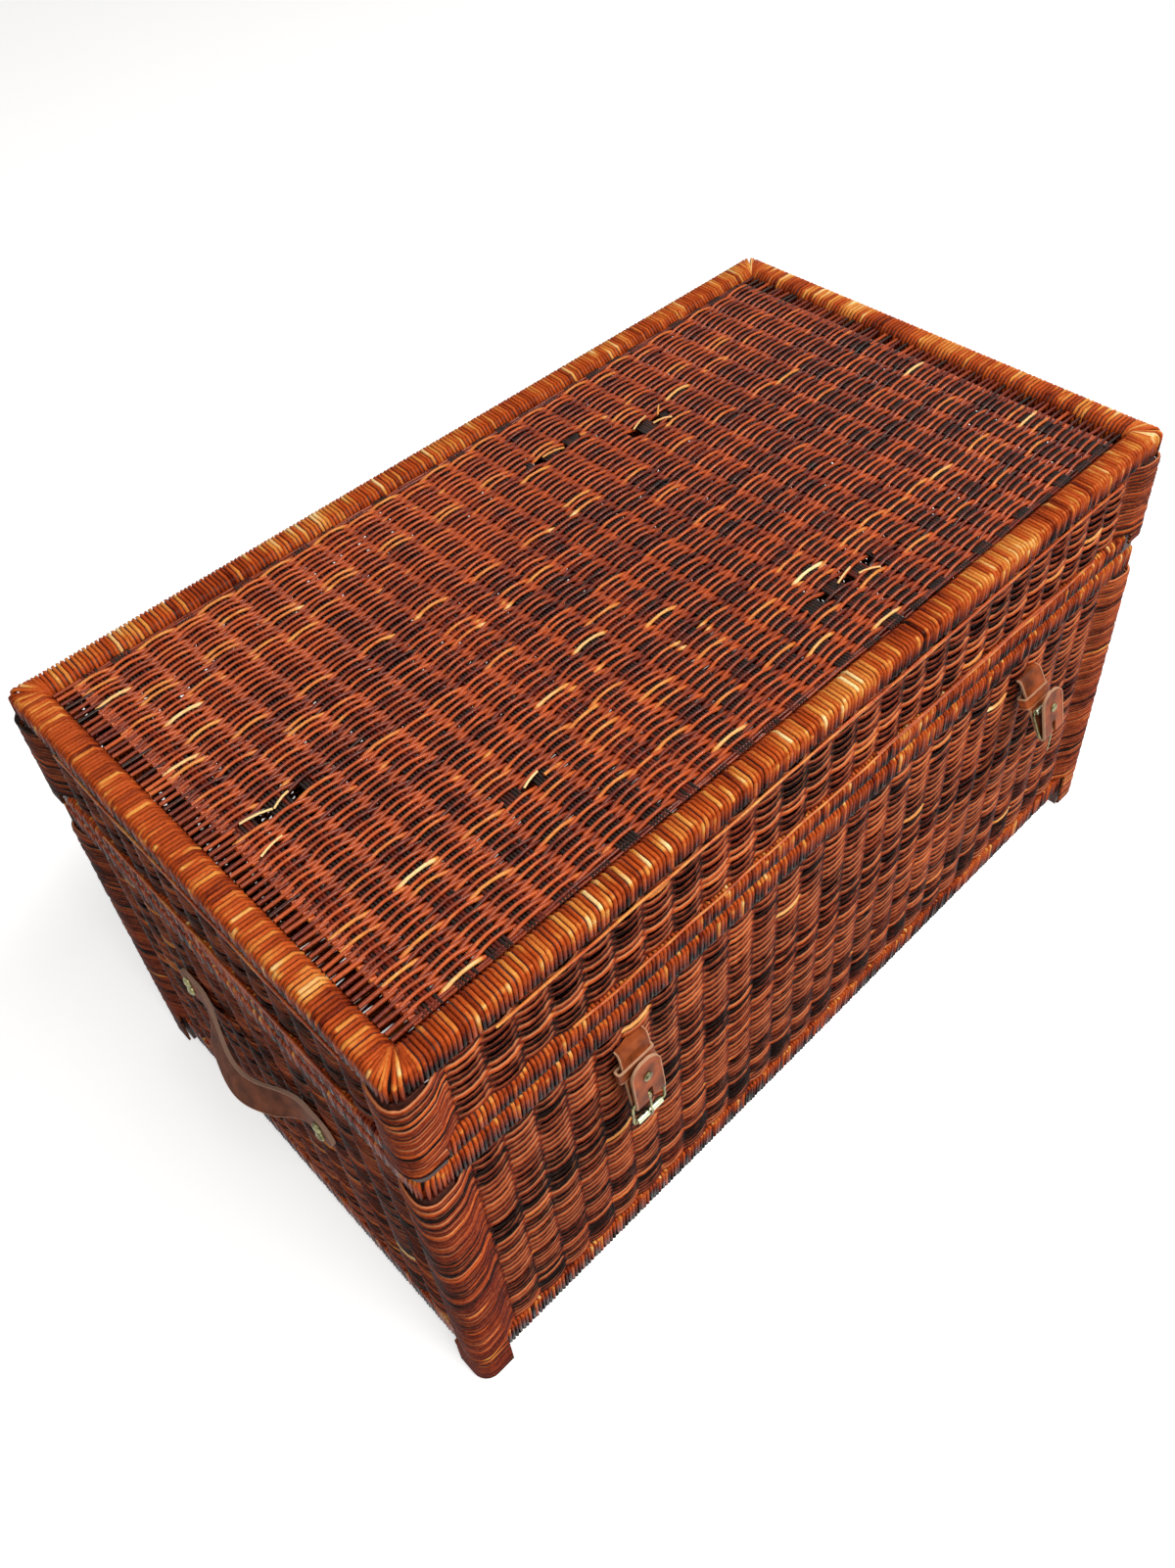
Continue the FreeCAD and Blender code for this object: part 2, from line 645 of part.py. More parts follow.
def at_hinges(name, thing):
    copies = []
    for side, sign in (("left", "-"), ("right", "+")):
        copy = gather("%s_%s" % (name, side), [thing])
        move_to(copy, "%s sizes.hinge_spacing / 2" % sign, "%s + sizes.hinge_back" % HALF_DEPTH, RIM_TOP)
        copies.append(copy)
    return gather(name + "_all", copies)


def hinge_leaf(name, low, start, ear_level, extra):
    plate = hinge_plate(name + "_plate", low, "sizes.leaf_height - sizes.leaf_start")
    ear, barrel = knuckle(name + "_knuckle", start, KNUCKLE_LENGTH)
    move_to(ear, z=ear_level)
    bore = cylinder(name + "_bore", "sizes.pin_radius", "2 * sizes.leaf_half", ACROSS, "-sizes.leaf_half")
    return cut(name, fuse(name + "_solid", [plate, ear, barrel] + extra), bore)


KNUCKLE_LENGTH = "(sizes.leaf_half - sizes.knuckle_gap / 2)"
body_leaf = hinge_leaf("body_leaf", "-sizes.leaf_height", "-sizes.leaf_half", "-sizes.leaf_start", [])
name_part(at_hinges("body_leaves", body_leaf), "hinge_body_leaves")

heel = box(
    "stop_heel", "sizes.knuckle_gap / 2", "-(sizes.hinge_back - sizes.leaf_thickness - sizes.heel_gap)",
    "-sizes.heel_length", KNUCKLE_LENGTH, "sizes.leaf_thickness", "sizes.heel_length - sizes.pin_radius",
)
shut_heel = gather("shut_heel", [heel])
turn_about(shut_heel, ACROSS, "sizes.open_angle")
lid_leaf = hinge_leaf("lid_leaf", "sizes.leaf_start", "sizes.knuckle_gap / 2", "0", [shut_heel])
name_part(at_hinges("lid_leaves", lid_leaf), "hinge_lid_leaves")

pin = cylinder(
    "pin_shaft", "sizes.pin_radius - sizes.turning_gap", "2 * sizes.leaf_half", ACROSS, "-sizes.leaf_half",
)
name_part(at_hinges("pins", pin), "hinge_pins")


def stud(name, radius, height, through):
    """Stud with a domed head on Z = 0 and two flat legs, bent apart at the far side."""
    head = new_body(name + "_head")
    disc = head.newObject("PartDesign::AdditivePrism", name + "_disc")
    bind(disc, Polygon="sizes.head_sides", Circumradius=radius, Height=height)
    doc.recompute()
    rim = ["Edge%d" % (number + 1) for number, edge in enumerate(disc.Shape.Edges)
           if near(edge.CenterOfMass, z=height)]
    chamfer = head.newObject("PartDesign::Chamfer", name + "_crown")
    chamfer.Base = (disc, rim)
    bind(chamfer, Size="%s * sizes.crown_share" % height)
    legs = box(
        name + "_legs", "-sizes.stud_leg_width / 2", "-sizes.stud_leg_thickness", "-" + through,
        "sizes.stud_leg_width", "2 * sizes.stud_leg_thickness", through,
    )
    bent = box(
        name + "_bent_legs", "-sizes.stud_leg_width / 2", "-sizes.stud_leg_reach",
        "-%s - sizes.stud_leg_thickness" % through,
        "sizes.stud_leg_width", "2 * sizes.stud_leg_reach", "sizes.stud_leg_thickness",
    )
    return fuse(name, [head, legs, bent])


# Handles: two studded ends and a grip that swings between them
def grip_section(body, name, share, at_end):
    swell = "(cos(90deg * (%s)) ^ 2)" % share
    out = "(sizes.grip_bow * %s)" % swell
    lean = "(0deg)" if at_end else "(sizes.grip_angle * 1deg)"
    sketch = new_sketch(body, name, "XZ_Plane", "(%s) * sizes.grip_half" % share)
    top_x = "(-%s - sizes.strap_thickness)" % out
    top = "(-sizes.grip_sag * %s)" % swell
    through_x = "sizes.strap_thickness * cos(%s)" % lean
    through_z = "sizes.strap_thickness * sin(%s)" % lean
    low_x = "%s - sizes.strap_width * sin(%s)" % (top_x, lean)
    low = "%s - sizes.strap_width * cos(%s)" % (top, lean)
    draw(sketch, [
        ("%s + %s" % (top_x, through_x), "%s - %s" % (top, through_z)),
        (top_x, top),
        (low_x, low),
        ("%s + %s" % (low_x, through_x), "%s - %s" % (low, through_z)),
    ])
    return sketch


def handle(side, angle):
    place = "%s (%s - %s)" % ("-" if angle == 0 else "+", HALF_LENGTH, STRAP_PLANE)
    top = "%s + sizes.strap_width / 2" % HANDLE_LEVEL
    body = new_body(side + "_grip_body")
    sections = []
    for number in range(int(value("sizes.grip_stretches")) + 1):
        share = "(2 * %d / sizes.grip_stretches - 1)" % number
        at_end = number in (0, int(value("sizes.grip_stretches")))
        sections.append(grip_section(body, "%s_grip_%d" % (side, number), share, at_end))
    doc.recompute()
    loft = body.newObject("PartDesign::AdditiveLoft", side + "_grip_loft")
    loft.Profile = sections[0]
    loft.Sections = sections[1:]
    loft.Ruled = True
    turned(body, UP, angle)
    move_to(body, place, z=top)
    doc.recompute()
    name_part(body, side + "_handle_grip")

    ends = []
    for name, turn in (("front", 180), ("back", 0)):
        strap = new_body("%s_%s_end" % (side, name))
        sketch = new_sketch(strap, "%s_%s_end_plan" % (side, name), "YZ_Plane", "-sizes.strap_thickness")
        start = "sizes.grip_half + sizes.cut_gap"
        radius = "sizes.strap_width / 2"
        straight = "%s + sizes.strap_end_length - %s" % (start, radius)
        lower = "-%s" % radius
        draw(sketch, [
            (straight, lower),
            (straight, radius, straight, "0", radius, False, "xx"),
            (start, radius),
            (start, lower),
        ])
        pad(strap, sketch, "%s_%s_end_pad" % (side, name), "sizes.strap_thickness")
        placed = gather("%s_%s_end_placed" % (side, name), [strap])
        turned(placed, ACROSS, turn)
        ends.append(placed)
    both = gather(side + "_ends", ends)
    turned(both, UP, angle)
    move_to(both, place, z=HANDLE_LEVEL)
    handle_ends.append(both)

    through = "(2 * sizes.wall_crest + sizes.strap_seat + sizes.strap_thickness)"
    one_stud = stud(side + "_stud", "sizes.stud_radius", "sizes.stud_dome", through)
    studs = []
    from_middle = "(sizes.grip_half + sizes.cut_gap + sizes.strap_end_length - sizes.stud_from_end)"
    for name, along, rise in (("a", "-", "-"), ("b", "-", "+"), ("c", "", "-"), ("d", "", "+")):
        placed = gather("%s_stud_%s" % (side, name), [one_stud])
        placed.Placement = FreeCAD.Placement(FreeCAD.Vector(), FreeCAD.Rotation(UP, -ACROSS))
        move_to(placed, "-sizes.strap_thickness", along + from_middle, rise + "sizes.stud_spacing / 2")
        studs.append(placed)
    both = gather(side + "_studs", studs)
    turned(both, UP, angle)
    move_to(both, place, z=HANDLE_LEVEL)
    handle_studs.append(both)


handle_ends = []
handle_studs = []
handle("left", 0)
handle("right", 180)
name_part(gather("all_handle_ends", handle_ends), "handle_ends")
name_part(gather("all_handle_studs", handle_studs), "handle_studs")


# Buckle straps. Each is made upright about the line where it leaves the weave, then leant out
HEEL_RISE = "-sizes.tab_drop"
TAB_PLANE = "(%s - %s)" % (HALF_DEPTH, CREST_INSET)


def lean_out(thing, side):
    turn_about(thing, -ACROSS, "sizes.%s_tab_angle" % side)
    out = "(%s + sizes.tab_thickness)" % TAB_PLANE
    move_to(thing, BUCKLE_AT[side], "-" + out, TAB_LEVEL)


def flap_lean(side):
    return "(sizes.%s_flap_angle * 1deg)" % side


def buckle_strap(side):
    lean = flap_lean(side)
    body = new_body(side + "_strap_body")
    sketch = new_sketch(body, side + "_strap_profile", "YZ_Plane", "-sizes.tab_width / 2")
    back = "(sizes.tab_thickness / 2)"
    heel_y = "(-%s)" % FOLD_MIDDLE

    def on_fold(radius):
        across = "%s - %s * cos(%s)" % (heel_y, radius, lean)
        upward = "%s - %s * sin(%s)" % (HEEL_RISE, radius, lean)
        return across, upward

    def at_tip(radius):
        across, upward = on_fold(radius)
        return "%s - sizes.flap_length * sin(%s)" % (across, lean), "%s + sizes.flap_length * cos(%s)" % (upward, lean)

    outer = on_fold(FOLD_OUTSIDE)
    inner = on_fold("sizes.fold_radius")
    draw(sketch, [
        (back, "0"),
        ("-" + back, "0"),
        ("-" + back, HEEL_RISE),
        (inner[0], inner[1], heel_y, HEEL_RISE, "sizes.fold_radius", True, "yy"),
        at_tip("sizes.fold_radius"),
        at_tip(FOLD_OUTSIDE),
        outer,
        (back, HEEL_RISE, heel_y, HEEL_RISE, FOLD_OUTSIDE, False, "yy"),
    ])
    strap = pad(body, sketch, side + "_strap_pad", "sizes.tab_width")
    tip = value(at_tip(FOLD_MIDDLE)[1])
    tip_y = value(at_tip(FOLD_MIDDLE)[0])
    reach = value("sizes.tab_thickness")
    strap = fillet(
        body, side + "_tip", strap, "sizes.tip_round",
        lambda edge: isinstance(edge.Curve, Part.Line)
        and abs(edge.CenterOfMass.z - tip) < reach
        and abs(edge.CenterOfMass.y - tip_y) < reach
        and not runs_along(edge, ACROSS),
    )
    slot = new_sketch(body, side + "_slot_plan", "XZ_Plane", "-" + back)
    rectangle(
        slot, "-sizes.slot_width / 2", "sizes.slot_width / 2",
        "%s - 2 * sizes.tab_thickness" % HEEL_RISE, "%s + sizes.slot_rise" % HEEL_RISE,
    )
    pocket = body.newObject("PartDesign::Pocket", side + "_slot")
    pocket.Profile = slot
    pocket.setExpression("Length", "2 * (%s + sizes.slot_rise * sin(%s)) + sizes.tab_thickness" % (FOLD_OUTSIDE, lean))
    pocket.Reversed = True
    doc.recompute()
    lean_out(body, side)
    name_part(body, side + "_buckle_strap")


def keeper_loop(side):
    body = new_body(side + "_keeper_body")
    sketch = new_sketch(body, side + "_keeper_plan", "XY_Plane", "%s + sizes.keeper_rise" % HEEL_RISE)
    shift = "sizes.%s_keeper_shift" % side
    half = "(sizes.%s_keeper_inside / 2)" % side
    front = "(-sizes.tab_thickness / 2 - sizes.root_gap)"
    back = "(%s + sizes.%s_keeper_depth)" % (front, side)
    leather = "sizes.keeper_thickness"
    rectangle(sketch, "-%s - %s - %s" % (half, shift, leather), "%s - %s + %s" % (half, shift, leather),
              "%s - %s" % (front, leather), "%s + %s" % (back, leather))
    loop = pad(body, sketch, side + "_keeper_pad", "sizes.keeper_width")
    loop = fillet(
        body, side + "_keeper_round", loop, leather,
        lambda edge: runs_along(edge, UP),
    )
    hole = new_sketch(body, side + "_keeper_hole", "XY_Plane", "%s + sizes.keeper_rise" % HEEL_RISE)
    rectangle(hole, "-%s - %s" % (half, shift), "%s - %s" % (half, shift), front, back)
    pocket = body.newObject("PartDesign::Pocket", side + "_keeper_pocket")
    pocket.Profile = hole
    pocket.setExpression("Length", "sizes.keeper_width")
    pocket.Reversed = True
    doc.recompute()
    lean_out(body, side)
    name_part(body, side + "_buckle_keeper")


def flap_rivet(side):
    lean = flap_lean(side)
    rivet = stud(side + "_rivet", "sizes.rivet_radius", "sizes.rivet_height", "sizes.tab_thickness")
    flat = gather(side + "_rivet_turned", [rivet])
    flat.Placement = FreeCAD.Placement(FreeCAD.Vector(), FreeCAD.Rotation(ACROSS, 90))
    flat.setExpression("Placement.Rotation.Angle", "90deg - %s" % lean)
    across = "(-%s - %s * cos(%s) - sizes.rivet_rise * sin(%s))" % (FOLD_MIDDLE, FOLD_OUTSIDE, lean, lean)
    upward = "(%s - %s * sin(%s) + sizes.rivet_rise * cos(%s))" % (HEEL_RISE, FOLD_OUTSIDE, lean, lean)
    move_to(flat, "0", across, upward)
    placed = gather(side + "_rivet_placed", [flat])
    lean_out(placed, side)
    name_part(placed, side + "_buckle_rivet")


def turn_on_heel(things, label, side, turn):
    turned_part = gather(label + "_turned", things)
    turn_about(turned_part, -ACROSS, turn)
    move_to(turned_part, "0", "-" + FOLD_MIDDLE, HEEL_RISE)
    placed = gather(label + "_placed", [turned_part])
    lean_out(placed, side)
    name_part(placed, label)


def buckle_frame(side, turn):
    drop = "sizes.frame_drop"
    outer = "(sizes.frame_inside / 2 + 2 * sizes.wire_radius)"
    body = new_body(side + "_frame_body")
    sketch = new_sketch(body, side + "_frame_plan", "XZ_Plane", "-sizes.wire_radius")
    rectangle(sketch, "-" + outer, outer, "-%s - sizes.wire_radius" % drop, "sizes.wire_radius")
    plate = pad(body, sketch, side + "_frame_plate", "2 * sizes.wire_radius")
    forward = FreeCAD.Vector(0, 1, 0)
    fillet(body, side + "_frame_bends", plate, "sizes.frame_bend", lambda edge: runs_along(edge, forward))
    opening = box(
        side + "_frame_opening", "-sizes.frame_inside / 2", "-2 * sizes.wire_radius",
        "-%s - 2 * sizes.wire_radius" % drop,
        "sizes.frame_inside", "4 * sizes.wire_radius", "%s + 4 * sizes.wire_radius" % drop,
    )
    pieces = [cut(side + "_frame_sides", body, opening)]
    for name, level in (("heel_bar", "0"), ("roller_bar", "-" + drop)):
        pieces.append(cylinder(
            "%s_%s" % (side, name), "sizes.wire_radius", "sizes.frame_inside", ACROSS,
            "-sizes.frame_inside / 2", "0", level,
        ))
    turn_on_heel([fuse(side + "_frame", pieces)], side + "_buckle_frame", side, turn)

    tube = cylinder(side + "_roller_tube", "sizes.roller_radius", "sizes.roller_length", ACROSS,
                    "-sizes.roller_length / 2", "0", "-" + drop)
    hollow = cylinder(side + "_roller_bore", "sizes.wire_radius + sizes.turning_gap", "sizes.roller_length", ACROSS,
                      "-sizes.roller_length / 2", "0", "-" + drop)
    turn_on_heel([cut(side + "_roller", tube, hollow)], side + "_buckle_roller", side, turn)


def buckle_prong(side, turn):
    half = "(sizes.prong_eye_width / 2)"
    eye_radius = "(sizes.wire_radius + sizes.turning_gap + sizes.prong_radius)"
    eye = cylinder(side + "_prong_eye", eye_radius, "2 * " + half, ACROSS, "-" + half)
    hole = cylinder(side + "_prong_hole", "sizes.wire_radius + sizes.turning_gap", "2 * " + half, ACROSS, "-" + half)
    shaft = box(
        side + "_prong_shaft", "-sizes.prong_radius", "-%s" % eye_radius, "-sizes.prong_reach",
        "2 * sizes.prong_radius", "sizes.prong_radius", "sizes.prong_reach",
    )
    whole = cut(side + "_prong", fuse(side + "_prong_solid", [eye, shaft]), hole)
    turn_on_heel([whole], side + "_buckle_prong", side, turn)


for side, frame_turn, prong_turn in (
    ("left", "-sizes.left_tab_angle", "sizes.prong_rest_angle - sizes.left_tab_angle"),
    ("right", "sizes.right_frame_angle", "-sizes.right_tab_angle"),
):
    buckle_strap(side)
    keeper_loop(side)
    flap_rivet(side)
    buckle_frame(side, frame_turn)
    buckle_prong(side, prong_turn)

# Fixed roots of the buckle straps: through the weave, turned down inside and riveted
roots = []
rivets = []
for side in BUCKLE_AT:
    left_edge = "%s - sizes.tab_width / 2" % BUCKLE_AT[side]
    through = box(
        side + "_root_through", left_edge,
        "-%s + sizes.root_gap - sizes.tab_thickness / 2" % TAB_PLANE, "%s - sizes.tab_thickness / 2" % TAB_LEVEL,
        "sizes.tab_width", "2 * sizes.wall_crest + 3 * sizes.tab_thickness / 2 - sizes.root_gap",
        "sizes.tab_thickness",
    )
    leg = box(
        side + "_root_leg", left_edge,
        "-%s + 2 * sizes.wall_crest" % TAB_PLANE, "%s - sizes.root_leg" % TAB_LEVEL,
        "sizes.tab_width", "sizes.tab_thickness", "sizes.root_leg",
    )
    roots.append(fuse(side + "_root", [through, leg]))
    stack = "(2 * sizes.wall_crest + sizes.tab_thickness)"
    rivet = gather(side + "_root_rivet", [stud(
        side + "_root_rivet_solid", "sizes.rivet_radius", "sizes.rivet_height", stack,
    )])
    rivet.Placement = FreeCAD.Placement(FreeCAD.Vector(), FreeCAD.Rotation(UP, FreeCAD.Vector(0, 1, 0)))
    inside = "-%s + %s" % (TAB_PLANE, stack)
    move_to(rivet, BUCKLE_AT[side], inside, "%s - sizes.root_rivet_drop" % TAB_LEVEL)
    rivets.append(rivet)
name_part(gather("both_roots", roots), "buckle_strap_roots")
name_part(gather("both_root_rivets", rivets), "buckle_root_rivets")

doc.recompute()
faults = []
for thing in doc.Objects:
    if "Invalid" in thing.State or "Error" in thing.State:
        faults.append("%s: %s" % (thing.Name, thing.State))
for thing in finished:
    if thing.Shape.isNull() or not thing.Shape.isValid() or not thing.Shape.Solids:
        faults.append("%s has no sound solid" % thing.Label)
if faults:
    raise RuntimeError("; ".join(faults))
for thing in finished:
    thing.Shape.exportStep("parts/%s.step" % thing.Label)
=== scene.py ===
import json
import math
import random
from collections import namedtuple

import bmesh
import bpy
import numpy as np
from bpy.props import FloatProperty, FloatVectorProperty, IntProperty, PointerProperty
from mathutils import Matrix, Vector


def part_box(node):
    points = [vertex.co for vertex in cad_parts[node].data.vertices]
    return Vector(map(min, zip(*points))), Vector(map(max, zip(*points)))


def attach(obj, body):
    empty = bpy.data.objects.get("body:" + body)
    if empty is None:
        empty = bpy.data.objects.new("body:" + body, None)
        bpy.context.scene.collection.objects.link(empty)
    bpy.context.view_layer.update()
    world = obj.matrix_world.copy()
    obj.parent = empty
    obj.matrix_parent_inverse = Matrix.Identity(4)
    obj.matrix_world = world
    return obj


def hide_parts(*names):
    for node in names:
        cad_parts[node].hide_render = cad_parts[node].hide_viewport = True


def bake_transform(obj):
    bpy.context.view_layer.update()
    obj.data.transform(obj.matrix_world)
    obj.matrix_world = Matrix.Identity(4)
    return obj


bl_info = {
    "name": "Wicker storage chest",
    "version": (1, 0, 0),
    "blender": (4, 5, 0),
    "location": "3D View > Sidebar > Chest",
    "description": "Builds a varnished wicker chest with cane-wrapped rails over its CAD frame",
    "category": "Add Mesh",
}

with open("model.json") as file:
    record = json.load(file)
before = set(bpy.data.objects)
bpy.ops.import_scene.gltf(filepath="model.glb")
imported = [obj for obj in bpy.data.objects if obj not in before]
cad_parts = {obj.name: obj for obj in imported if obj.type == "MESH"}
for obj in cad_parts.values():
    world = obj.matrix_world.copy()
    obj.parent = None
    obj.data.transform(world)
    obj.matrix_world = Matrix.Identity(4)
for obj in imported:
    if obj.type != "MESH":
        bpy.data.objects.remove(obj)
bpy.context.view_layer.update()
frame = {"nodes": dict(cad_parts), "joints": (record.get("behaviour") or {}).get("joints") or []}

MM = 0.001
SIDES = ("front", "right", "back", "left")
QUARTERS = {"front": 0, "right": 1, "back": 2, "left": 3}


def to_linear(hex_colour):
    """Turns an sRGB hex colour to linear light."""
    channels = []
    for start in (1, 3, 5):
        part = int(hex_colour[start:start + 2], 16) / 255
        if part <= 0.04045:
            channels.append(part / 12.92)
        else:
            channels.append(((part + 0.055) / 1.055) ** 2.4)
    return tuple(channels)


def colour(name, description, hex_colour):
    return FloatVectorProperty(
        name=name, description=description, subtype="COLOR", size=3, min=0, max=1,
        default=to_linear(hex_colour),
    )


def length(name, description, millimetres):
    return FloatProperty(
        name=name, description=description, default=millimetres * MM, min=0, unit="LENGTH", precision=4,
    )


def rotation(name, description, degrees):
    return FloatProperty(name=name, description=description, default=math.radians(degrees), unit="ROTATION")


def power(name, description, watts):
    return FloatProperty(name=name, description=description, default=watts, min=0, unit="POWER")


class ChestWeave(bpy.types.PropertyGroup):
    strand: length("Strand radius", "Half the thickness of a woven strand", 1.75)
    fine: FloatProperty(
        name="Fine strands", description="Thickness of the lowest rows against the others", default=0.80,
        min=0, max=1,
    )
    row: length("Row spacing", "From one woven row to the next", 4.1)
    fine_row: length("Fine row spacing", "The same at the foot of the walls", 2.7)
    fine_below: length("Fine rows end", "Level up to which the rows grow further apart", 230)
    panel_row: length("Panel row spacing", "Row spacing on the lid's panel", 3.45)
    base_row: length("Bottom row spacing", "Row spacing in the chest's bottom", 2.7)
    rod: length("Rod radius", "Half the thickness of one of the six rods of a flat stake", 1.8)
    swing: length("Swing", "How far a strand of the walls is bent out over a stake", 3.5)
    wander: length("Wander", "How far a row strays from its straight course", 2.2)
    seed: IntProperty(name="Seed", description="Start of the random draws", default=7)


class ChestWrap(bpy.types.PropertyGroup):
    cane: length("Cane radius", "Half the thickness of the wrapping cane", 1.9)
    pitch: length("Wrap spacing", "From one turn of cane to the next", 4.0)
    rounding: length("Rounding", "Rounding of a rail's outer edges", 7)
    tilt: length("Tilt", "How far a turn strays along the rail", 1.2)


class ChestColours(bpy.types.PropertyGroup):
    # Darkest colour: painted shade in the gaps between strands, and the darkest stain of the wood
    gap: colour("Gaps", "Stain gathered between the strands", "#0e0201")
    dark: colour("Dark cane", "Darkest strands", "#641c0c")
    middle: colour("Middle cane", "Most of the strands", "#b84e1e")
    light: colour("Light cane", "Lighter strands", "#da9040")
    worn: colour("Worn cane", "Where the varnish is rubbed through", "#f4d898")
    # Painted highlight on the upper side of the walls' strands
    painted_highlight: colour("Dusty cane", "Bleached upper sides of the walls' strands", "#e0a070")
    post: colour("Posts", "Stained wood of posts and battens", "#4a1c0c")
    handle: colour("Handle leather", "Face of the handles", "#6f3d28")
    handle_edge: colour("Handle edge", "Cut edge of the handles", "#b08a74")
    strap: colour("Buckle leather", "Face of the buckle straps", "#8e4420")
    strap_edge: colour("Buckle leather edge", "Rubbed edges of the buckle straps", "#bc9070")
    brass: colour("Brass", "Aged brass of buckles, studs and hinges", "#8f8a62")
    bright: colour("Bright brass", "Rollers rubbed bright", "#d2d6b6")
    tarnish: colour("Tarnish", "Darkened hollows of the brass", "#3c3a24")


class ChestStage(bpy.types.PropertyGroup):
    azimuth: rotation("Azimuth", "Camera's turn round the chest", -40.36)
    elevation: rotation("Elevation", "Camera's height over the horizon", 44.63)
    roll: rotation("Roll", "Camera's roll", -5.30)
    focal: FloatProperty(name="Focal length", description="In pixels of the photograph", default=1408.4)
    key: power("Key light", "Power of the main light", 150)
    fill: power("Fill light", "Power of the weaker light", 42)
    floor: colour("Floor", "Floor and backdrop", "#f7f5f2")


# Small tools for nodes and meshes
def node(tree, kind, links=(), inputs=(), **values):
    """Adds a shader node. links are (source socket, input name), inputs are (input name, value)."""
    new = tree.nodes.new(kind)
    for name, setting in values.items():
        setattr(new, name, setting)
    for name, setting in inputs:
        new.inputs[name].default_value = setting
    for source, name in links:
        tree.links.new(source, new.inputs[name])
    return new


def ramp(tree, source, stops):
    new = node(tree, "ShaderNodeValToRGB", [(source, "Fac")])
    elements = new.color_ramp.elements
    while len(elements) < len(stops):
        elements.new(0.5)
    for element, (position, shade) in zip(elements, stops):
        element.position = position
        element.color = tuple(shade) + (1,)
    return new.outputs["Color"]


def start_material(name):
    known = bpy.data.materials.get(name)
    if known:
        return known, None, None
    material = bpy.data.materials.new(name)
    material.use_nodes = True
    tree = material.node_tree
    return material, tree, tree.nodes["Principled BSDF"]


def bump(tree, shader, height, strength, distance):
    new = node(
        tree, "ShaderNodeBump", [(height, "Height")],
        [("Strength", strength), ("Distance", distance)],
    )
    tree.links.new(new.outputs["Normal"], shader.inputs["Normal"])


def noise(tree, place, scale, detail, stretch=None):
    if stretch:
        place = node(
            tree, "ShaderNodeMapping", [(place, "Vector")], [("Scale", stretch)],
        ).outputs["Vector"]
    return node(
        tree, "ShaderNodeTexNoise", [(place, "Vector")], [("Scale", scale), ("Detail", detail)],
    ).outputs["Fac"]


def maths(tree, operation, first, second, third=None):
    new = tree.nodes.new("ShaderNodeMath")
    new.operation = operation
    for number, item in enumerate((first, second, third)):
        if item is None:
            continue
        if isinstance(item, (int, float)):
            new.inputs[number].default_value = item
        else:
            tree.links.new(item, new.inputs[number])
    return new.outputs[0]


def object_place(tree):
    return node(tree, "ShaderNodeTexCoord").outputs["Object"]


def cane_material(name, shift, gloss, highlight_share=0, painted_light_along=0.05):
    """Split cane and willow, woven by hand, stained and varnished: round strands, each taking
    the stain differently, pale where the varnish is rubbed through. shift makes it all lighter,
    highlight_share paints a highlight on the upper side of every strand, and painted_light_along
    paints light along the chest, lighter towards its right-hand end and darker where it is negative."""
    material, tree, shader = start_material(name)
    if tree is None:
        return material
    colours = bpy.context.scene.chest_colours
    place = object_place(tree)
    tone = node(tree, "ShaderNodeAttribute", attribute_name="tone").outputs["Fac"]
    # Stain clouds about 60 mm wide, and flecks a few millimetres long
    cloud = noise(tree, place, 16, 2)
    fleck = noise(tree, place, 420, 2)
    mixed = maths(tree, "MULTIPLY_ADD", cloud, 0.30, tone)
    mixed = maths(tree, "MULTIPLY_ADD", fleck, 0.22, mixed)
    # Cloud and fleck together add 0.26 on average, which is taken off again
    # Painted light along the chest: lighter towards its right-hand end, darker where the share is negative
    along = node(tree, "ShaderNodeSeparateXYZ", [(place, "Vector")]).outputs["X"]
    lighter = maths(tree, "MULTIPLY_ADD", along, painted_light_along, shift - 0.26)
    # Painted light: upward faces lighter and downward faces darker, much more so where highlights are
    # painted
    facing = node(tree, "ShaderNodeNewGeometry").outputs["Normal"]
    upward = node(tree, "ShaderNodeSeparateXYZ", [(facing, "Vector")]).outputs["Z"]
    brightened = maths(tree, "MULTIPLY_ADD", upward, 0.05 + 0.25 * highlight_share, lighter)
    # Tones near and below zero, largely from painted shade, take the darkest colour
    shade = ramp(tree, maths(tree, "ADD", mixed, brightened), (
        (0.0, colours.gap),
        (0.14, colours.dark),
        (0.46, colours.middle),
        (0.70, colours.light),
        (0.98, colours.worn),
    ))
    # Painted highlight: upward faces of the outer strands are blended towards a pale colour
    if highlight_share:
        highlight_mask = ramp(tree, upward, ((0.80, (0, 0, 0)), (0.98, (highlight_share, highlight_share, highlight_share))))
        # The painted highlight stays off dark strands and off strands in painted shade
        outer = ramp(tree, tone, ((0.14, (0, 0, 0)), (0.46, (1, 1, 1))))
        shade = blend_colours(tree, maths(tree, "MULTIPLY", highlight_mask, outer), shade, colours.painted_highlight)
    tree.links.new(shade, shader.inputs["Base Color"])
    dull = maths(tree, "MULTIPLY_ADD", fleck, 0.24, 0.15)
    tree.links.new(dull, shader.inputs["Roughness"])
    shader.inputs["IOR"].default_value = 1.5
    # Amber varnish warms what it reflects
    shader.inputs["Specular Tint"].default_value = (1, 0.86, 0.74, 1)
    shader.inputs["Specular IOR Level"].default_value = gloss
    bump(tree, shader, fleck, 0.25, 0.0006)
    return material


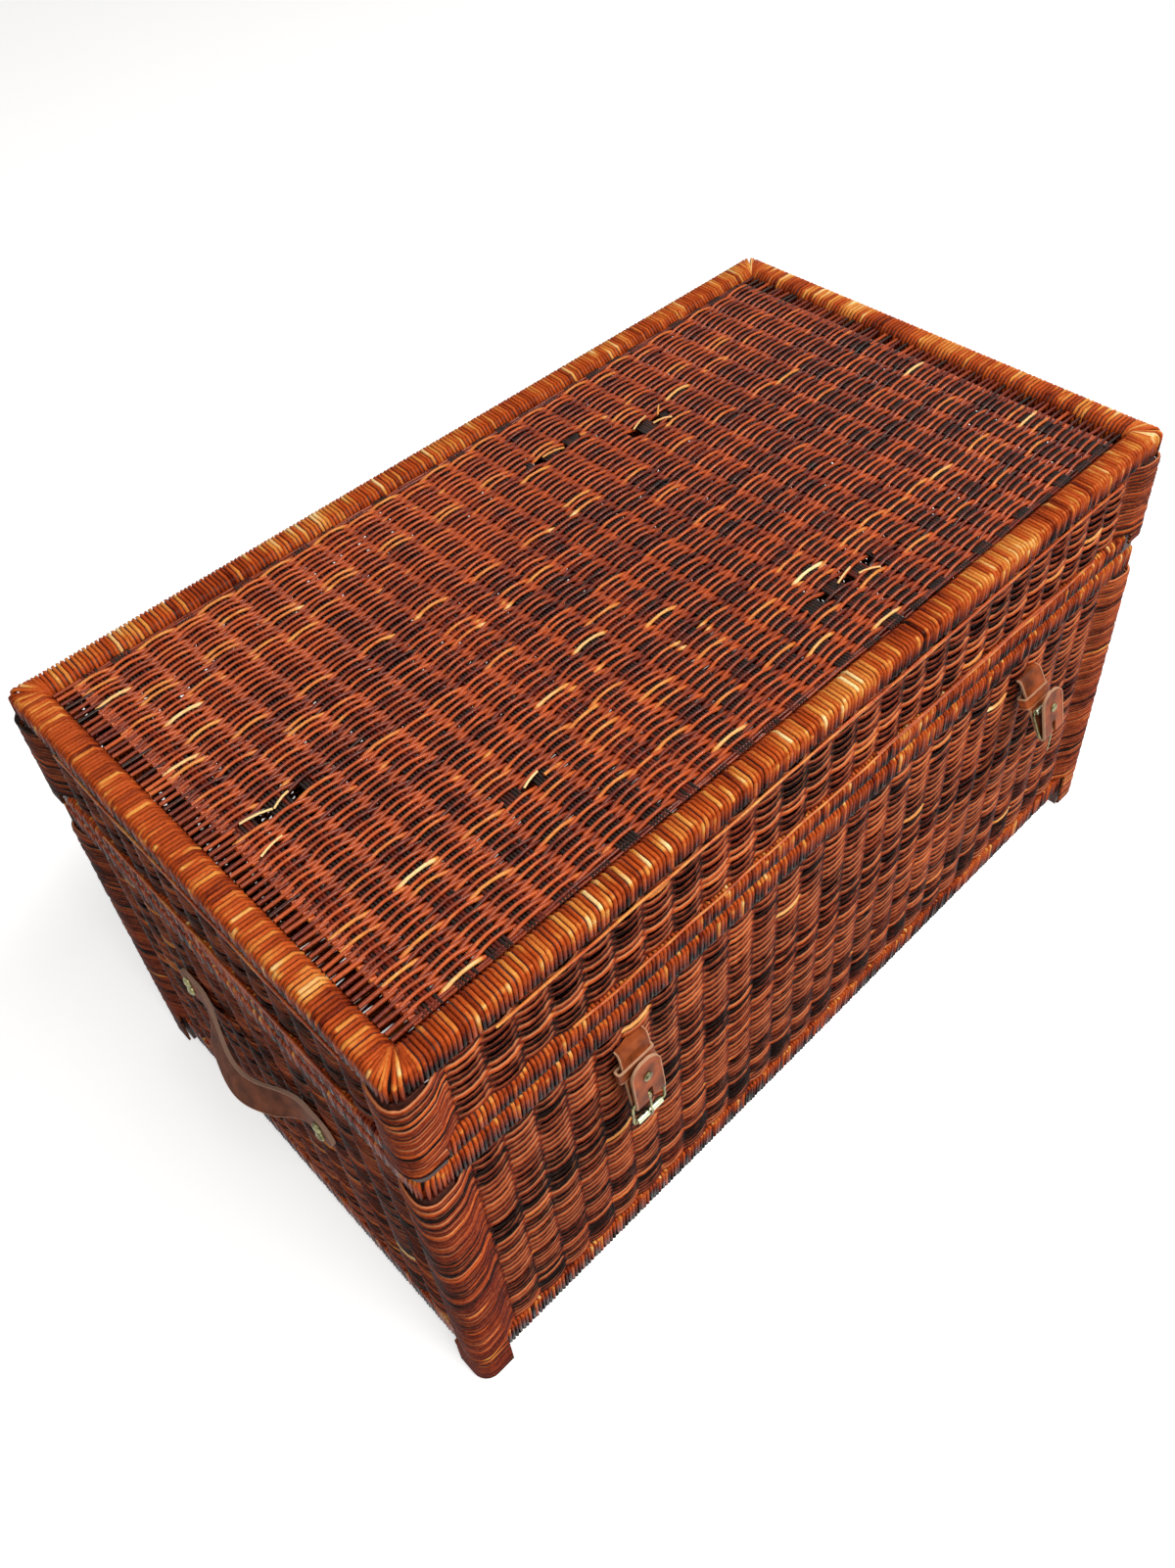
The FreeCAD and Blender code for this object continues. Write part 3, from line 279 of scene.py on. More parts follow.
def wood_material(name):
    """Sawn hardwood, stained dark: fine grain along Z, dull."""
    material, tree, shader = start_material(name)
    if tree is None:
        return material
    colours = bpy.context.scene.chest_colours
    place = object_place(tree)
    grain = noise(tree, place, 1, 4, (300, 300, 18))
    stain = noise(tree, place, 25, 2)
    mixed = maths(tree, "MULTIPLY_ADD", stain, 0.5, maths(tree, "MULTIPLY", grain, 0.5))
    shade = ramp(tree, mixed, ((0.25, colours.gap), (0.6, colours.post), (0.9, colours.middle)))
    tree.links.new(shade, shader.inputs["Base Color"])
    rough = maths(tree, "MULTIPLY_ADD", grain, 0.2, 0.5)
    tree.links.new(rough, shader.inputs["Roughness"])
    bump(tree, shader, grain, 0.3, 0.0005)
    return material


def leather_material(name, face, edge, roughness):
    """Vegetable-tanned cowhide, cut and creased: fine grain, darker patches, a pale cut edge and
    a line pressed in beside it. The attribute rim is the distance to the nearest cut edge."""
    material, tree, shader = start_material(name)
    if tree is None:
        return material
    place = object_place(tree)
    # Hide grain of about 1 mm, drawn twice as coarse so that it shows
    grain = node(
        tree, "ShaderNodeTexVoronoi", [(place, "Vector")], [("Scale", 520)],
    ).outputs["Distance"]
    patches = noise(tree, place, 60, 4)
    scuffs = noise(tree, place, 260, 3)
    rim = node(tree, "ShaderNodeAttribute", attribute_name="rim").outputs["Fac"]
    # 1 stands for 5 mm from the edge, and scuffs make the pale edge ragged
    from_edge = maths(tree, "MULTIPLY", rim, 200)
    ragged = maths(tree, "ADD", maths(tree, "MULTIPLY_ADD", scuffs, 0.30, -0.15), from_edge)
    darker = tuple(part * 0.35 for part in face)
    lighter = tuple(min(part * 1.7, 1) for part in face)
    body = ramp(tree, patches, ((0.3, darker), (0.52, tuple(face)), (0.75, lighter)))
    pale = ramp(tree, ragged, ((0.10, (1, 1, 1)), (0.20, (0, 0, 0))))
    pressed = ramp(tree, from_edge, ((0.50, (0, 0, 0)), (0.60, (1, 1, 1)), (0.70, (0, 0, 0))))
    creased = tuple(part * 0.2 for part in face)
    lined = blend_colours(tree, maths(tree, "MULTIPLY", pressed, 0.6), body, creased)
    whole = blend_colours(tree, pale, lined, edge)
    tree.links.new(whole, shader.inputs["Base Color"])
    rough = maths(tree, "MULTIPLY_ADD", scuffs, 0.25, roughness)
    tree.links.new(rough, shader.inputs["Roughness"])
    shader.inputs["Specular IOR Level"].default_value = 0.12
    bump(tree, shader, maths(tree, "MULTIPLY_ADD", pressed, -0.6, grain), 0.35, 0.0004)
    return material


def blend_colours(tree, share, first, second):
    mix = node(tree, "ShaderNodeMix", data_type="RGBA")
    tree.links.new(share, mix.inputs[0])
    tree.links.new(first, mix.inputs[6])
    mix.inputs[7].default_value = tuple(second) + (1,)
    return mix.outputs[2]


def brass_material(name, bright=False):
    """Cast and tumbled brass, years old: soft reflections, greenish-brown in the hollows. Where
    leather runs over it, as on the rollers, it is rubbed bright."""
    material, tree, shader = start_material(name)
    if tree is None:
        return material
    colours = bpy.context.scene.chest_colours
    place = object_place(tree)
    stain = noise(tree, place, 220, 4)
    pits = noise(tree, place, 900, 2)
    clean = colours.bright if bright else colours.brass
    shade = ramp(tree, stain, ((0.34, colours.tarnish), (0.40 if bright else 0.56, clean)))
    tree.links.new(shade, shader.inputs["Base Color"])
    shader.inputs["Metallic"].default_value = 1
    rough = maths(tree, "MULTIPLY_ADD", pits, 0.3, 0.22)
    tree.links.new(rough, shader.inputs["Roughness"])
    bump(tree, shader, pits, 0.15, 0.0003)
    return material


def finish_piece(mesh_object, body, nodes, material):
    """Gives a piece its material and says what it moves with and which CAD nodes it replaces."""
    mesh_object.data.materials.append(material)
    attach(mesh_object, body)
    if nodes:
        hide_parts(*nodes)


def new_object(name, mesh):
    made = bpy.data.objects.new(name, mesh)
    bpy.context.scene.collection.objects.link(made)
    return made


def mesh_from(name, bm, smooth=True):
    bmesh.ops.recalc_face_normals(bm, faces=bm.faces)
    for face in bm.faces:
        face.smooth = smooth
    mesh = bpy.data.meshes.new(name)
    bm.to_mesh(mesh)
    bm.free()
    return new_object(name, mesh)


# Woven strands. Painted shade darkens a strand where it dips behind the middle of the weave
SHADE_START = 0.1
SHADE_DEPTH = 0.42
Course = namedtuple("Course", "points tones thickness front closed")


class Strands:
    """Collects the courses of strands and lays them as one mesh. A course is an array of
    points in metres, with a thickness share and a tone for every point, and with how far it is
    in front of the weave's middle (1) or behind it (-1)."""

    def __init__(self):
        self.courses = []

    def add(self, points, tones, thickness=1.0, closed=False, front=0.0):
        points = np.asarray(points, float)
        tones, thickness, front = (
            np.broadcast_to(np.asarray(item, float), (len(points),)) for item in (tones, thickness, front)
        )
        self.courses.append(Course(points, tones, thickness, front, closed))

    def joined(self, part):
        return np.concatenate([getattr(course, part) for course in self.courses])

    def lay(self, name, radius, sides=0, outward=None):
        curve = bpy.data.curves.new(name + "_courses", "CURVE")
        curve.dimensions = "3D"
        curve.bevel_depth = radius
        curve.bevel_resolution = sides
        for course in self.courses:
            spline = curve.splines.new("POLY")
            spline.points.add(len(course.points) - 1)
            spline.use_cyclic_u = course.closed
            packed = np.column_stack([course.points, np.ones(len(course.points))])
            spline.points.foreach_set("co", packed.ravel())
            spline.points.foreach_set("radius", np.ascontiguousarray(course.thickness))
        holder = new_object(name + "_courses", curve)
        graph = bpy.context.evaluated_depsgraph_get()
        mesh = bpy.data.meshes.new_from_object(holder.evaluated_get(graph))
        bpy.data.objects.remove(holder)
        bpy.data.curves.remove(curve)
        mesh.name = name
        tones = self.joined("tones")
        around = len(mesh.vertices) // len(tones)
        tones = np.repeat(tones, around)
        # Painted shade is taken off the tone where a stake covers a strand
        if outward is not None:
            tones = tones - self.painted_shade_behind_stakes(mesh, radius, around, outward)
        attribute = mesh.attributes.new("tone", "FLOAT", "POINT")
        attribute.data.foreach_set("value", tones.astype(np.float32))
        mesh.polygons.foreach_set("use_smooth", np.ones(len(mesh.polygons), bool))
        mesh.update()
        return new_object(name, mesh)

    def painted_shade_behind_stakes(self, mesh, radius, around, outward):
        """Painted shade on the side of a strand that a stake covers, on both faces of a weave."""
        places = np.empty(len(mesh.vertices) * 3)
        mesh.vertices.foreach_get("co", places)
        centres = np.repeat(self.joined("points"), around, axis=0)
        facing = np.clip((places.reshape(-1, 3) - centres) @ np.asarray(outward) / radius, -1, 1)
        front = np.repeat(self.joined("front"), around)
        outside = np.maximum(SHADE_START - front, 0) * np.maximum(facing, 0)
        inside = np.maximum(SHADE_START + front, 0) * np.maximum(-facing, 0)
        return SHADE_DEPTH * (outside + inside)


class Wander:
    """A smooth random field over two directions, for courses that stray together."""

    def __init__(self, chance, waves=6, shortest=0.05, longest=0.30):
        self.waves = []
        for _ in range(waves):
            span = chance.uniform(shortest, longest)
            turn = chance.uniform(-0.6, 0.6)
            self.waves.append((
                2 * math.pi * math.cos(turn) / span, 2 * math.pi * math.sin(turn) / span,
                chance.uniform(0, 2 * math.pi),
            ))

    def at(self, first, second):
        total = sum(np.sin(a * first + b * second + c) for a, b, c in self.waves)
        return total / len(self.waves)


# The chest's outer planes, and the middle between front and back, from the CAD rim
FRONT_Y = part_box("body_rim_front")[0].y
MIDDLE_Y = (FRONT_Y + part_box("body_rim_back")[1].y) / 2
HALF_LENGTH = -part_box("body_rim_left")[0].x
HALF_DEPTH = MIDDLE_Y - FRONT_Y


def wall_place(side, along, inward, up):
    """Turns coordinates of a wall (along it, inwards from its outer plane, up) to the frame."""
    along, inward, up = np.broadcast_arrays(
        np.asarray(along, float), np.asarray(inward, float), np.asarray(up, float),
    )
    to_plane = HALF_DEPTH if side in ("front", "back") else HALF_LENGTH
    across, forward = along, inward - to_plane
    for _ in range(QUARTERS[side]):
        across, forward = -forward, across
    return np.column_stack([across, forward + MIDDLE_Y, up])


def half_of(side):
    return HALF_LENGTH if side in ("front", "back") else HALF_DEPTH


# Where the walls' weave ends, and how far its middle lies inside the outer plane
WALL_END = 46 * MM
WALL_INSET = 7.5 * MM
# How far the woven corners run on top before they dip into the walls' weave, and how far they
# stand proud of the rails
TURN_REACH = 24 * MM
TURN_PROUD = 4 * MM
RAIL_WIDTH = 28 * MM
LONG_STAKES = 27
SHORT_STAKES = 14
# Middles of a flat stake's rods, in rod radii. They lie a little into each other
ROD_PLACES = (-4.3, -2.6, -0.9, 0.9, 2.6, 4.3)
# Rows stray and sag less and less over this distance from the weave's upper and lower end
STRAIGHT_EDGE = 20 * MM
# How far single strands stray by themselves, smoothly and unevenly
OWN_WANDER = 1.3 * MM
UNEVENNESS = 0.15 * MM


def strand_tone(chance):
    """Most strands take the stain evenly, some stay dark and a few are rubbed pale."""
    draw = chance.random()
    if draw < 0.14:
        return chance.uniform(0.12, 0.24)
    if draw < 0.90:
        return chance.uniform(0.24, 0.44)
    return chance.uniform(0.44, 0.62)


def rows_between(low, high, spacing, thickness):
    """Level and thickness share of evenly spaced rows."""
    count = int((high - low) / spacing)
    step = (high - low) / count
    return [(low + (number + 0.5) * step, thickness) for number in range(count)]


def wall_rows(low, high):
    """Rows of a wall, beaten closer together towards the foot."""
    weave_values = bpy.context.scene.chest_weave
    fine = weave_values.fine
    rows = []
    level = low + weave_values.fine_row / 2
    while level < high - weave_values.strand / 2:
        share = min(level / weave_values.fine_below, 1)
        rows.append((level, fine + (1 - fine) * share))
        level += weave_values.fine_row + (weave_values.row - weave_values.fine_row) * share
    return rows


def unbroken(kept):
    """The stretches of a row that are still there."""
    found = []
    start = None
    for index, there in enumerate(list(kept) + [False]):
        if there and start is None:
            start = index
        elif not there and start is not None:
            if index - start > 1:
                found.append(slice(start, index))
            start = None
    return found


def jitter(chance, count, amount):
    return np.array([chance.gauss(0, amount) for _ in range(count)])


def weave(strands, place, half, stakes, rows, chance, depth, wander_by, breaks=()):
    """Lays rows of strands in and out of the stakes. place turns (along, outward, across) to
    the frame, where outward is measured from the middle of the weave. rows holds the level and
    the thickness share of every row, breaks (first, last, level, reach) where rows are lost."""
    pitch = 2 * half / stakes
    count = 4 * stakes + 1
    along = -half + np.arange(count) * pitch / 4
    swing = np.sin(math.pi * (along + half) / pitch)
    # Flatter over the rods of a stake than a plain wave, and steeper between the stakes
    swing = np.sign(swing) * np.abs(swing) ** 0.70
    low = rows[0][0]
    high = rows[-1][0]
    wander = Wander(chance)
    for number, (level, share) in enumerate(rows):
        front = swing * (1 if number % 2 else -1)
        edge = max(min(level - low, high - level, STRAIGHT_EDGE), 0) / STRAIGHT_EDGE
        own = Wander(chance, 3, 0.05, 0.18)
        stray = wander.at(along, np.full(count, level)) * wander_by * edge
        stray = stray + own.at(along, np.zeros(count)) * OWN_WANDER * share
        stray = stray + jitter(chance, count, UNEVENNESS)
        outward = front * depth * chance.uniform(0.90, 1.0)
        tones = strand_tone(chance) + jitter(chance, count, 0.035)
        # Rubbed pieces one column long, and longer rubbed stretches
        for _ in range(chance.choice((0, 0, 1, 2))):
            start = 4 * chance.randrange(stakes)
            tones[start:start + 5] += chance.uniform(0.18, 0.45)
        if chance.random() < 0.25:
            start = chance.randrange(count)
            tones[start:start + chance.randrange(5, 14)] += chance.uniform(0.08, 0.24)
        # Strands spread between the stakes, where they cross
        thickness = share * chance.uniform(0.92, 1.04) * (1.25 - 0.25 * np.abs(swing))
        kept = np.ones(count, bool)
        for first, last, at, reach in breaks:
            if abs(level - at) < reach:
                kept &= (along < first) | (along > last)
        points = place(along, outward, level + stray)
        for stretch in unbroken(kept):
            strands.add(points[stretch], tones[stretch], thickness[stretch], False, front[stretch])


def lay_stakes(strands, ends_at, half, stakes, chance, tone):
    """Flat stakes of thin rods laid side by side. ends_at gives the two ends of a rod."""
    weave_values = bpy.context.scene.chest_weave
    thickness = weave_values.rod / weave_values.strand
    for number in range(stakes):
        at = -half + (number + 0.5) * 2 * half / stakes
        for beside in ROD_PLACES:
            ends = ends_at(at + beside * weave_values.rod)
            strands.add(ends, tone + chance.uniform(0.0, 0.18), thickness)


def shaded_wall_cane():
    # A darker copy of the cane for the walls and corners, as painted shade, with painted highlights on the
    # strands' upper sides
    return cane_material("varnished_wall_wicker", -0.28, 0.05, 0.55, 0.04)


def lay_wall(name, side, low, high, stakes, chance, body):
    weave_values = bpy.context.scene.chest_weave
    half = half_of(side) - WALL_END
    strands = Strands()

    def place(along, outward, up):
        return wall_place(side, along, WALL_INSET - outward, up)

    def rod_ends(along):
        return wall_place(side, along, WALL_INSET, [low, high])

    weave(
        strands, place, half, stakes, wall_rows(low, high), chance, weave_values.swing, weave_values.wander,
    )
    # The stakes' low tone is painted shade, for rods that lie deep in the weave
    lay_stakes(strands, rod_ends, half, stakes, chance, 0.02)
    outward = wall_place(side, 0, -1, 0)[0] - wall_place(side, 0, 0, 0)[0]
    made = strands.lay(name + "_weave", weave_values.strand, 1, outward)
    finish_piece(made, body, [name], shaded_wall_cane())


class ChestWalls(bpy.types.Operator):
    """Woven walls of the chest and of its lid"""
    bl_idname = "chest.walls"
    bl_label = "Woven walls"

    def execute(self, context):
        chance = random.Random(context.scene.chest_weave.seed)
        for owner, body in (("body", "chest"), ("lid", "lid")):
            for side in SIDES:
                name = "%s_wall_%s" % (owner, side)
                low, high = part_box(name)
                stakes = LONG_STAKES if side in ("front", "back") else SHORT_STAKES
                lay_wall(name, side, low.z, high.z, stakes, chance, body)
        return {"FINISHED"}


# Outer rounding of the woven corners
CORNER_ROUNDING = 16 * MM


def corner_course(reach, radius, to_wall):
    """Course round one corner: (distance from the end of the long wall, inward) pairs, both
    measured from the outer planes. Beside a wall it climbs out of the wall's weave."""
    proud = -TURN_PROUD + radius
    bend = CORNER_ROUNDING - radius
    centre = proud + bend
    start_drop = 1.0 * MM if to_wall else 0
    middle_drop = 0.3 * MM if to_wall else 0
    climb = []
    if to_wall:
        for share in (0.0, 0.25, 0.5, 0.75):
            eased = share * share * (3 - 2 * share)
            inward = WALL_INSET + (proud + start_drop - WALL_INSET) * eased
            climb.append((WALL_END - share * (WALL_END - reach), inward))
    climb.append((reach, proud + start_drop))
    climb.append(((reach + centre) / 2, proud + middle_drop))
    round_bend = []
    for step in range(7):
        angle = math.radians(90 * step / 6)
        round_bend.append((centre - bend * math.sin(angle), centre - bend * math.cos(angle)))
    leaving = [(inward, along) for along, inward in reversed(climb)]
    return np.array(climb + round_bend + leaving)


def corner_levels(level, count, low, high, radius, sway, chance):
    """Levels along a strand that sags and strays round a corner between two levels."""
    room = min(high - level, level - low, STRAIGHT_EDGE) / STRAIGHT_EDGE
    sag = 2.6 * MM * np.sin(np.linspace(0, math.pi, count)) * room
    stray = 0.9 * MM * sway.at(np.arange(count) * 6 * MM, np.full(count, level)) * room
    ups = level - sag + stray + jitter(chance, count, 0.25 * MM)
    return np.clip(ups, low + radius, high - radius * 0.6)


def lay_corner(strands, right, back, low, high, wall_low, reach, chance):
    """Strands round one corner. right and back are 1 or -1."""
    radius = bpy.context.scene.chest_weave.strand
    sway = Wander(chance, 4, 0.03, 0.12)
    for level, share in wall_rows(low, high):
        on_wall = level > wall_low + radius
        course = corner_course(TURN_REACH if on_wall else reach, radius, on_wall)
        # No two strands press equally tight round the post
        course = course + abs(chance.gauss(0, 0.35)) * MM
        count = len(course)
        across = right * (HALF_LENGTH - course[:, 0])
        along = MIDDLE_Y + back * (HALF_DEPTH - course[:, 1])
        ups = corner_levels(level, count, low, high, radius, sway, chance)
        tones = strand_tone(chance) + 0.04 + jitter(chance, count, 0.03)
        if chance.random() < 0.25:
            start = chance.randrange(count - 4)
            tones[start:start + 4] += chance.uniform(0.12, 0.35)
        thickness = share * chance.uniform(0.90, 1.02)
        strands.add(np.column_stack([across, along, ups]), tones, thickness)


class ChestCorners(bpy.types.Operator):
    """Strands that turn round the corner posts, and the covers of the feet"""
    bl_idname = "chest.corners"
    bl_label = "Woven corners"

    def execute(self, context):
        weave_values = context.scene.chest_weave
        chance = random.Random(weave_values.seed + 1)
        # The last value is how far the strands reach where they cover rails and feet
        for node_name, body, wall, reach in (
            ("body_woven_corners", "chest", "body_wall_front", 30 * MM),
            ("lid_woven_corners", "lid", "lid_wall_front", RAIL_WIDTH),
        ):
            low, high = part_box(node_name)
            wall_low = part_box(wall)[0].z
            strands = Strands()
            for right in (-1, 1):
                for back in (-1, 1):
                    lay_corner(strands, right, back, low.z, high.z, wall_low, reach, chance)
            made = strands.lay(node_name + "_weave", weave_values.strand, 1)
            finish_piece(made, body, [node_name], shaded_wall_cane())
        return {"FINISHED"}


# The weave's crests on the lid's panel stand this far over its middle
PANEL_CREST = 4.6 * MM
# Left to loose strands along the lid's long rails
PANEL_BORDER = 6 * MM
# Open strips of single bars at both ends of the panel, and how far the bars go into the weave
STRIP_WIDTH = 17 * MM
STRIP_BARS = 66
BAR_TUCK = 9 * MM
# Where the lid's panel has lost strands: (first, last, across, reach) in mm
PANEL_BREAKS = (
    (-407, -340, 3, 6), (133, 183, 131, 5), (33, 93, 166, 4), (60, 140, -152, 4), (-250, -215, -120, 3),
)
# Loose pale ends on the panel: (along, across, length, turn in degrees) in mm
PANEL_ENDS = (
    (-404, -29, 22, 12), (-398, 8, 26, -14), (-372, 1, 18, 20), (140, 134, 24, 16), (160, 127, 20, -18),
    (172, 133, 18, 40), (52, 168, 24, -10), (96, -150, 26, 12), (118, -155, 20, -24), (-232, -121, 18, 15),
)


def flat_place(middle):
    """Turns (along, outward, across) of a flat weave at that level to the frame."""
    def place(along, outward, across):
        return np.column_stack([along, across, np.broadcast_to(middle + outward, np.shape(along))])

    return place


def lay_panel_weave(strands, low, high, middle, half, chance):
    weave_values = bpy.context.scene.chest_weave
    breaks = [[part * MM for part in lost] for lost in PANEL_BREAKS]
    rows = rows_between(low.y + PANEL_BORDER, high.y - PANEL_BORDER, weave_values.panel_row, 0.85)
    depth = PANEL_CREST - weave_values.strand * 1.08

    def rod_ends(along):
        return [[along, low.y, middle], [along, high.y, middle]]

    weave(
        strands, flat_place(middle), half, LONG_STAKES, rows, chance, depth, weave_values.wander, breaks,
    )
    # The stakes' low tone is painted shade, for rods that lie deep in the weave
    lay_stakes(strands, rod_ends, half, LONG_STAKES, chance, -0.04)


def lay_borders(strands, low, high, middle, half, chance):
    """Two loose strands along each long rail of the lid."""
    for edge, inward in ((low.y, 1), (high.y, -1)):
        for offset in (1.7, 4.6):
            stray = Wander(chance, 5, 0.04, 0.2)
            along = np.linspace(-half, half, 120)
            across = edge + inward * (offset + 0.9 * stray.at(along, along * 0)) * MM
            up = middle + 1.5 * MM * stray.at(along + 1, along * 0)
            strands.add(np.column_stack([along, across, up]), 0.14 + 0.1 * chance.random(), 0.82)


def lay_loose_ends(strands, middle, chance):
    for along, across, reach, turned in PANEL_ENDS:
        angle = math.radians(turned)
        points = []
        for share in (0.0, 0.3, 0.6, 0.85, 1.0):
            points.append([
                (along + reach * share * math.cos(angle)) * MM,
                (across + reach * share * math.sin(angle)) * MM,
                middle + 2.2 * MM + 1.6 * MM * math.sin(math.pi * share),
            ])
        strands.add(points, chance.uniform(0.75, 0.95), 0.6)


def lay_end_strips(strands, low, high, middle, half, chance):
    spacing = (high.y - low.y) / STRIP_BARS
    for end in (-1, 1):
        for number in range(STRIP_BARS):
            tone = strand_tone(chance) - 0.10
            across = low.y + (number + 0.5) * spacing + chance.gauss(0, 0.35) * MM
            lean = chance.gauss(0, 0.7) * MM
            points = [
                [end * (half - BAR_TUCK), across, middle + 0.6 * MM],
                [end * (half + STRIP_WIDTH), across + lean, middle + 0.3 * MM],
            ]
            strands.add(points, [tone, tone - 0.04], chance.uniform(0.92, 1.08))


def lay_bottom(chance):
    """The chest's bottom, woven tight."""
    weave_values = bpy.context.scene.chest_weave
    low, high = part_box("base_panel")
    strands = Strands()
    rows = rows_between(low.y, high.y, weave_values.base_row, 1.0)
    depth = (high.z - low.z) / 2 - weave_values.strand
    place = flat_place((low.z + high.z) / 2)
    weave(strands, place, (high.x - low.x) / 2, LONG_STAKES, rows, chance, depth, 0)
    made = strands.lay("base_panel_weave", weave_values.strand)
    cane = cane_material("varnished_bottom_wicker", -0.08, 0.05)
    finish_piece(made, "chest", ["base_panel"], cane)


class ChestPanels(bpy.types.Operator):
    """Woven panel of the lid with its open end strips, and the woven bottom"""
    bl_idname = "chest.panels"
    bl_label = "Woven panels"

    def execute(self, context):
        weave_values = context.scene.chest_weave
        chance = random.Random(weave_values.seed + 2)
        low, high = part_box("lid_panel")
        middle = high.z - PANEL_CREST
        half = HALF_LENGTH - RAIL_WIDTH - STRIP_WIDTH
        strands = Strands()
        lay_panel_weave(strands, low, high, middle, half, chance)
        lay_borders(strands, low, high, middle, half, chance)
        lay_loose_ends(strands, middle, chance)
        lay_end_strips(strands, low, high, middle, half, chance)
        made = strands.lay("lid_panel_weave", weave_values.strand, 1, (0, 0, 1))
        # The panel is painted darker towards its right-hand end: painted shade
        cane = cane_material("varnished_panel_wicker", -0.06, 0.30, 0, -0.12)
        finish_piece(made, "lid", ["lid_panel"], cane)
        lay_bottom(chance)
        return {"FINISHED"}


class ChestStrays(bpy.types.Operator):
    """Long loose strands that have worked out along the lid's front and left wall"""
    bl_idname = "chest.strays"
    bl_label = "Loose strands"

    def execute(self, context):
        chance = random.Random(context.scene.chest_weave.seed + 4)
        low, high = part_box("lid_wall_front")
        strands = Strands()
        # Level, first and last as shares of the half wall, and tone
        courses = (
            (high.z - 2.2 * MM, -0.9, 0.55, 0.56),
            (high.z - 1.4 * MM, -0.1, 0.95, 0.42),
            (low.z + 2.4 * MM, -0.75, 0.9, 0.5),
            (low.z + 5.0 * MM, 0.1, 0.8, 0.34),
        )
        count = 110
        for side in ("front", "left"):
            half = half_of(side) - WALL_END
            for level, first, last, tone in courses:
                along = np.linspace(first * half, last * half, count)
                stray = Wander(chance, 5, 0.05, 0.25)
                up = level + 1.3 * MM * stray.at(along, along * 0)
                inward = 0.9 * MM + 0.7 * MM * stray.at(along + 1, along * 0)
                tones = tone + 0.16 * stray.at(along * 2, along * 0) + jitter(chance, count, 0.04)
                strands.add(wall_place(side, along, inward, up), tones, 0.72)
        made = strands.lay("lid_loose_strands", context.scene.chest_weave.strand, 1)
        finish_piece(made, "lid", [], cane_material("varnished_wicker", -0.02, 0.30))
        return {"FINISHED"}


# Cane-wrapped rails
Rails = namedtuple("Rails", "prefix body mitred inset rounds shade")
# Points of one turn of cane
TURN_POINTS = 12
# How far single turns lie off their place along the rail
TURN_SHIFT = 0.22 * MM


def section(reach, height, rounds, radius):
    """Course of one turn round a rail: (outward from its inner edge, up) pairs. rounds holds the
    rounding of the outer and of the inner edges, radius is the cane's."""
    far, high = reach - radius, height - radius
    outer, inner = rounds[0] - radius, rounds[1] - radius
    corners = (
        (far - outer, radius + outer, outer, (-90, -60, -30, 0)),
        (far - outer, high - outer, outer, (0, 30, 60, 90)),
        (radius + inner, high - inner, inner, (90, 180)),
        (radius + inner, radius + inner, inner, (180, 270)),
    )
    points = []
    for out, up, bend, angles in corners:
        for degrees in angles:
            angle = math.radians(degrees)
            points.append((out + bend * math.cos(angle), up + bend * math.sin(angle)))
    return points


def corner_reach(angle):
    """How far a mitred rail reaches from its inner corner, for a turn fanned by that angle."""
    bend = 10 * MM
    centre = RAIL_WIDTH - bend
    straight = RAIL_WIDTH / math.cos(angle)
    off_diagonal = abs(angle) - math.pi / 4
    chord = bend ** 2 - 2 * centre ** 2 * math.sin(off_diagonal) ** 2
    if chord <= 0:
        return straight
    rounded = math.sqrt(2) * centre * math.cos(off_diagonal) + math.sqrt(chord)
    flat_end = math.atan2(centre, RAIL_WIDTH)
    return rounded if abs(angle) > flat_end else straight


def rail_stations(half, mitred, pitch):
    """Where the turns of a rail lie, as (along, angle) pairs. In a mitred corner they fan out
    from the inner corner, in as many turns as its outer edge has room for."""
    turns = int(2 * half / pitch)
    stations = [(-half + 2 * half * (number + 0.5) / turns, 0.0) for number in range(turns)]
    if mitred:
        fan = int(math.pi / 4 * RAIL_WIDTH * 1.12 / pitch)
        angles = [math.pi / 4 * (number + 0.5) / fan for number in range(fan)]
        stations = [(-half, -angle) for angle in reversed(angles)] + stations
        stations += [(half, angle) for angle in angles]
    stations.append(stations[-1])
    return stations


def rubbed_streaks(count, chance):
    """Streaks over a part of a turn, rubbed paler, most of them near the outer upper edge."""
    streaks = np.zeros((count, TURN_POINTS))
    for _ in range(count // 2):
        number = chance.randrange(count)
        start = chance.choice((2, 3, 4, 5, 6, 7, 8))
        paler = chance.uniform(0.12, 0.38)
        streaks[number, start:start + chance.randrange(1, 4)] = paler
    return streaks


def wear_and_painted_light_at(out, up, far, height):
    """How much paler a part of a turn is: rails are rubbed paler along the outer upper edge. Their
    top is painted lighter and their outer face below that edge darker: painted light and shade."""
    edge = out > far * 0.62 and up > height * 0.62
    paler = 0.08 if edge else 0
    if up > height * 0.9:
        paler += 0.05
    elif out > far * 0.9 and not edge:
        paler -= 0.26
    return paler


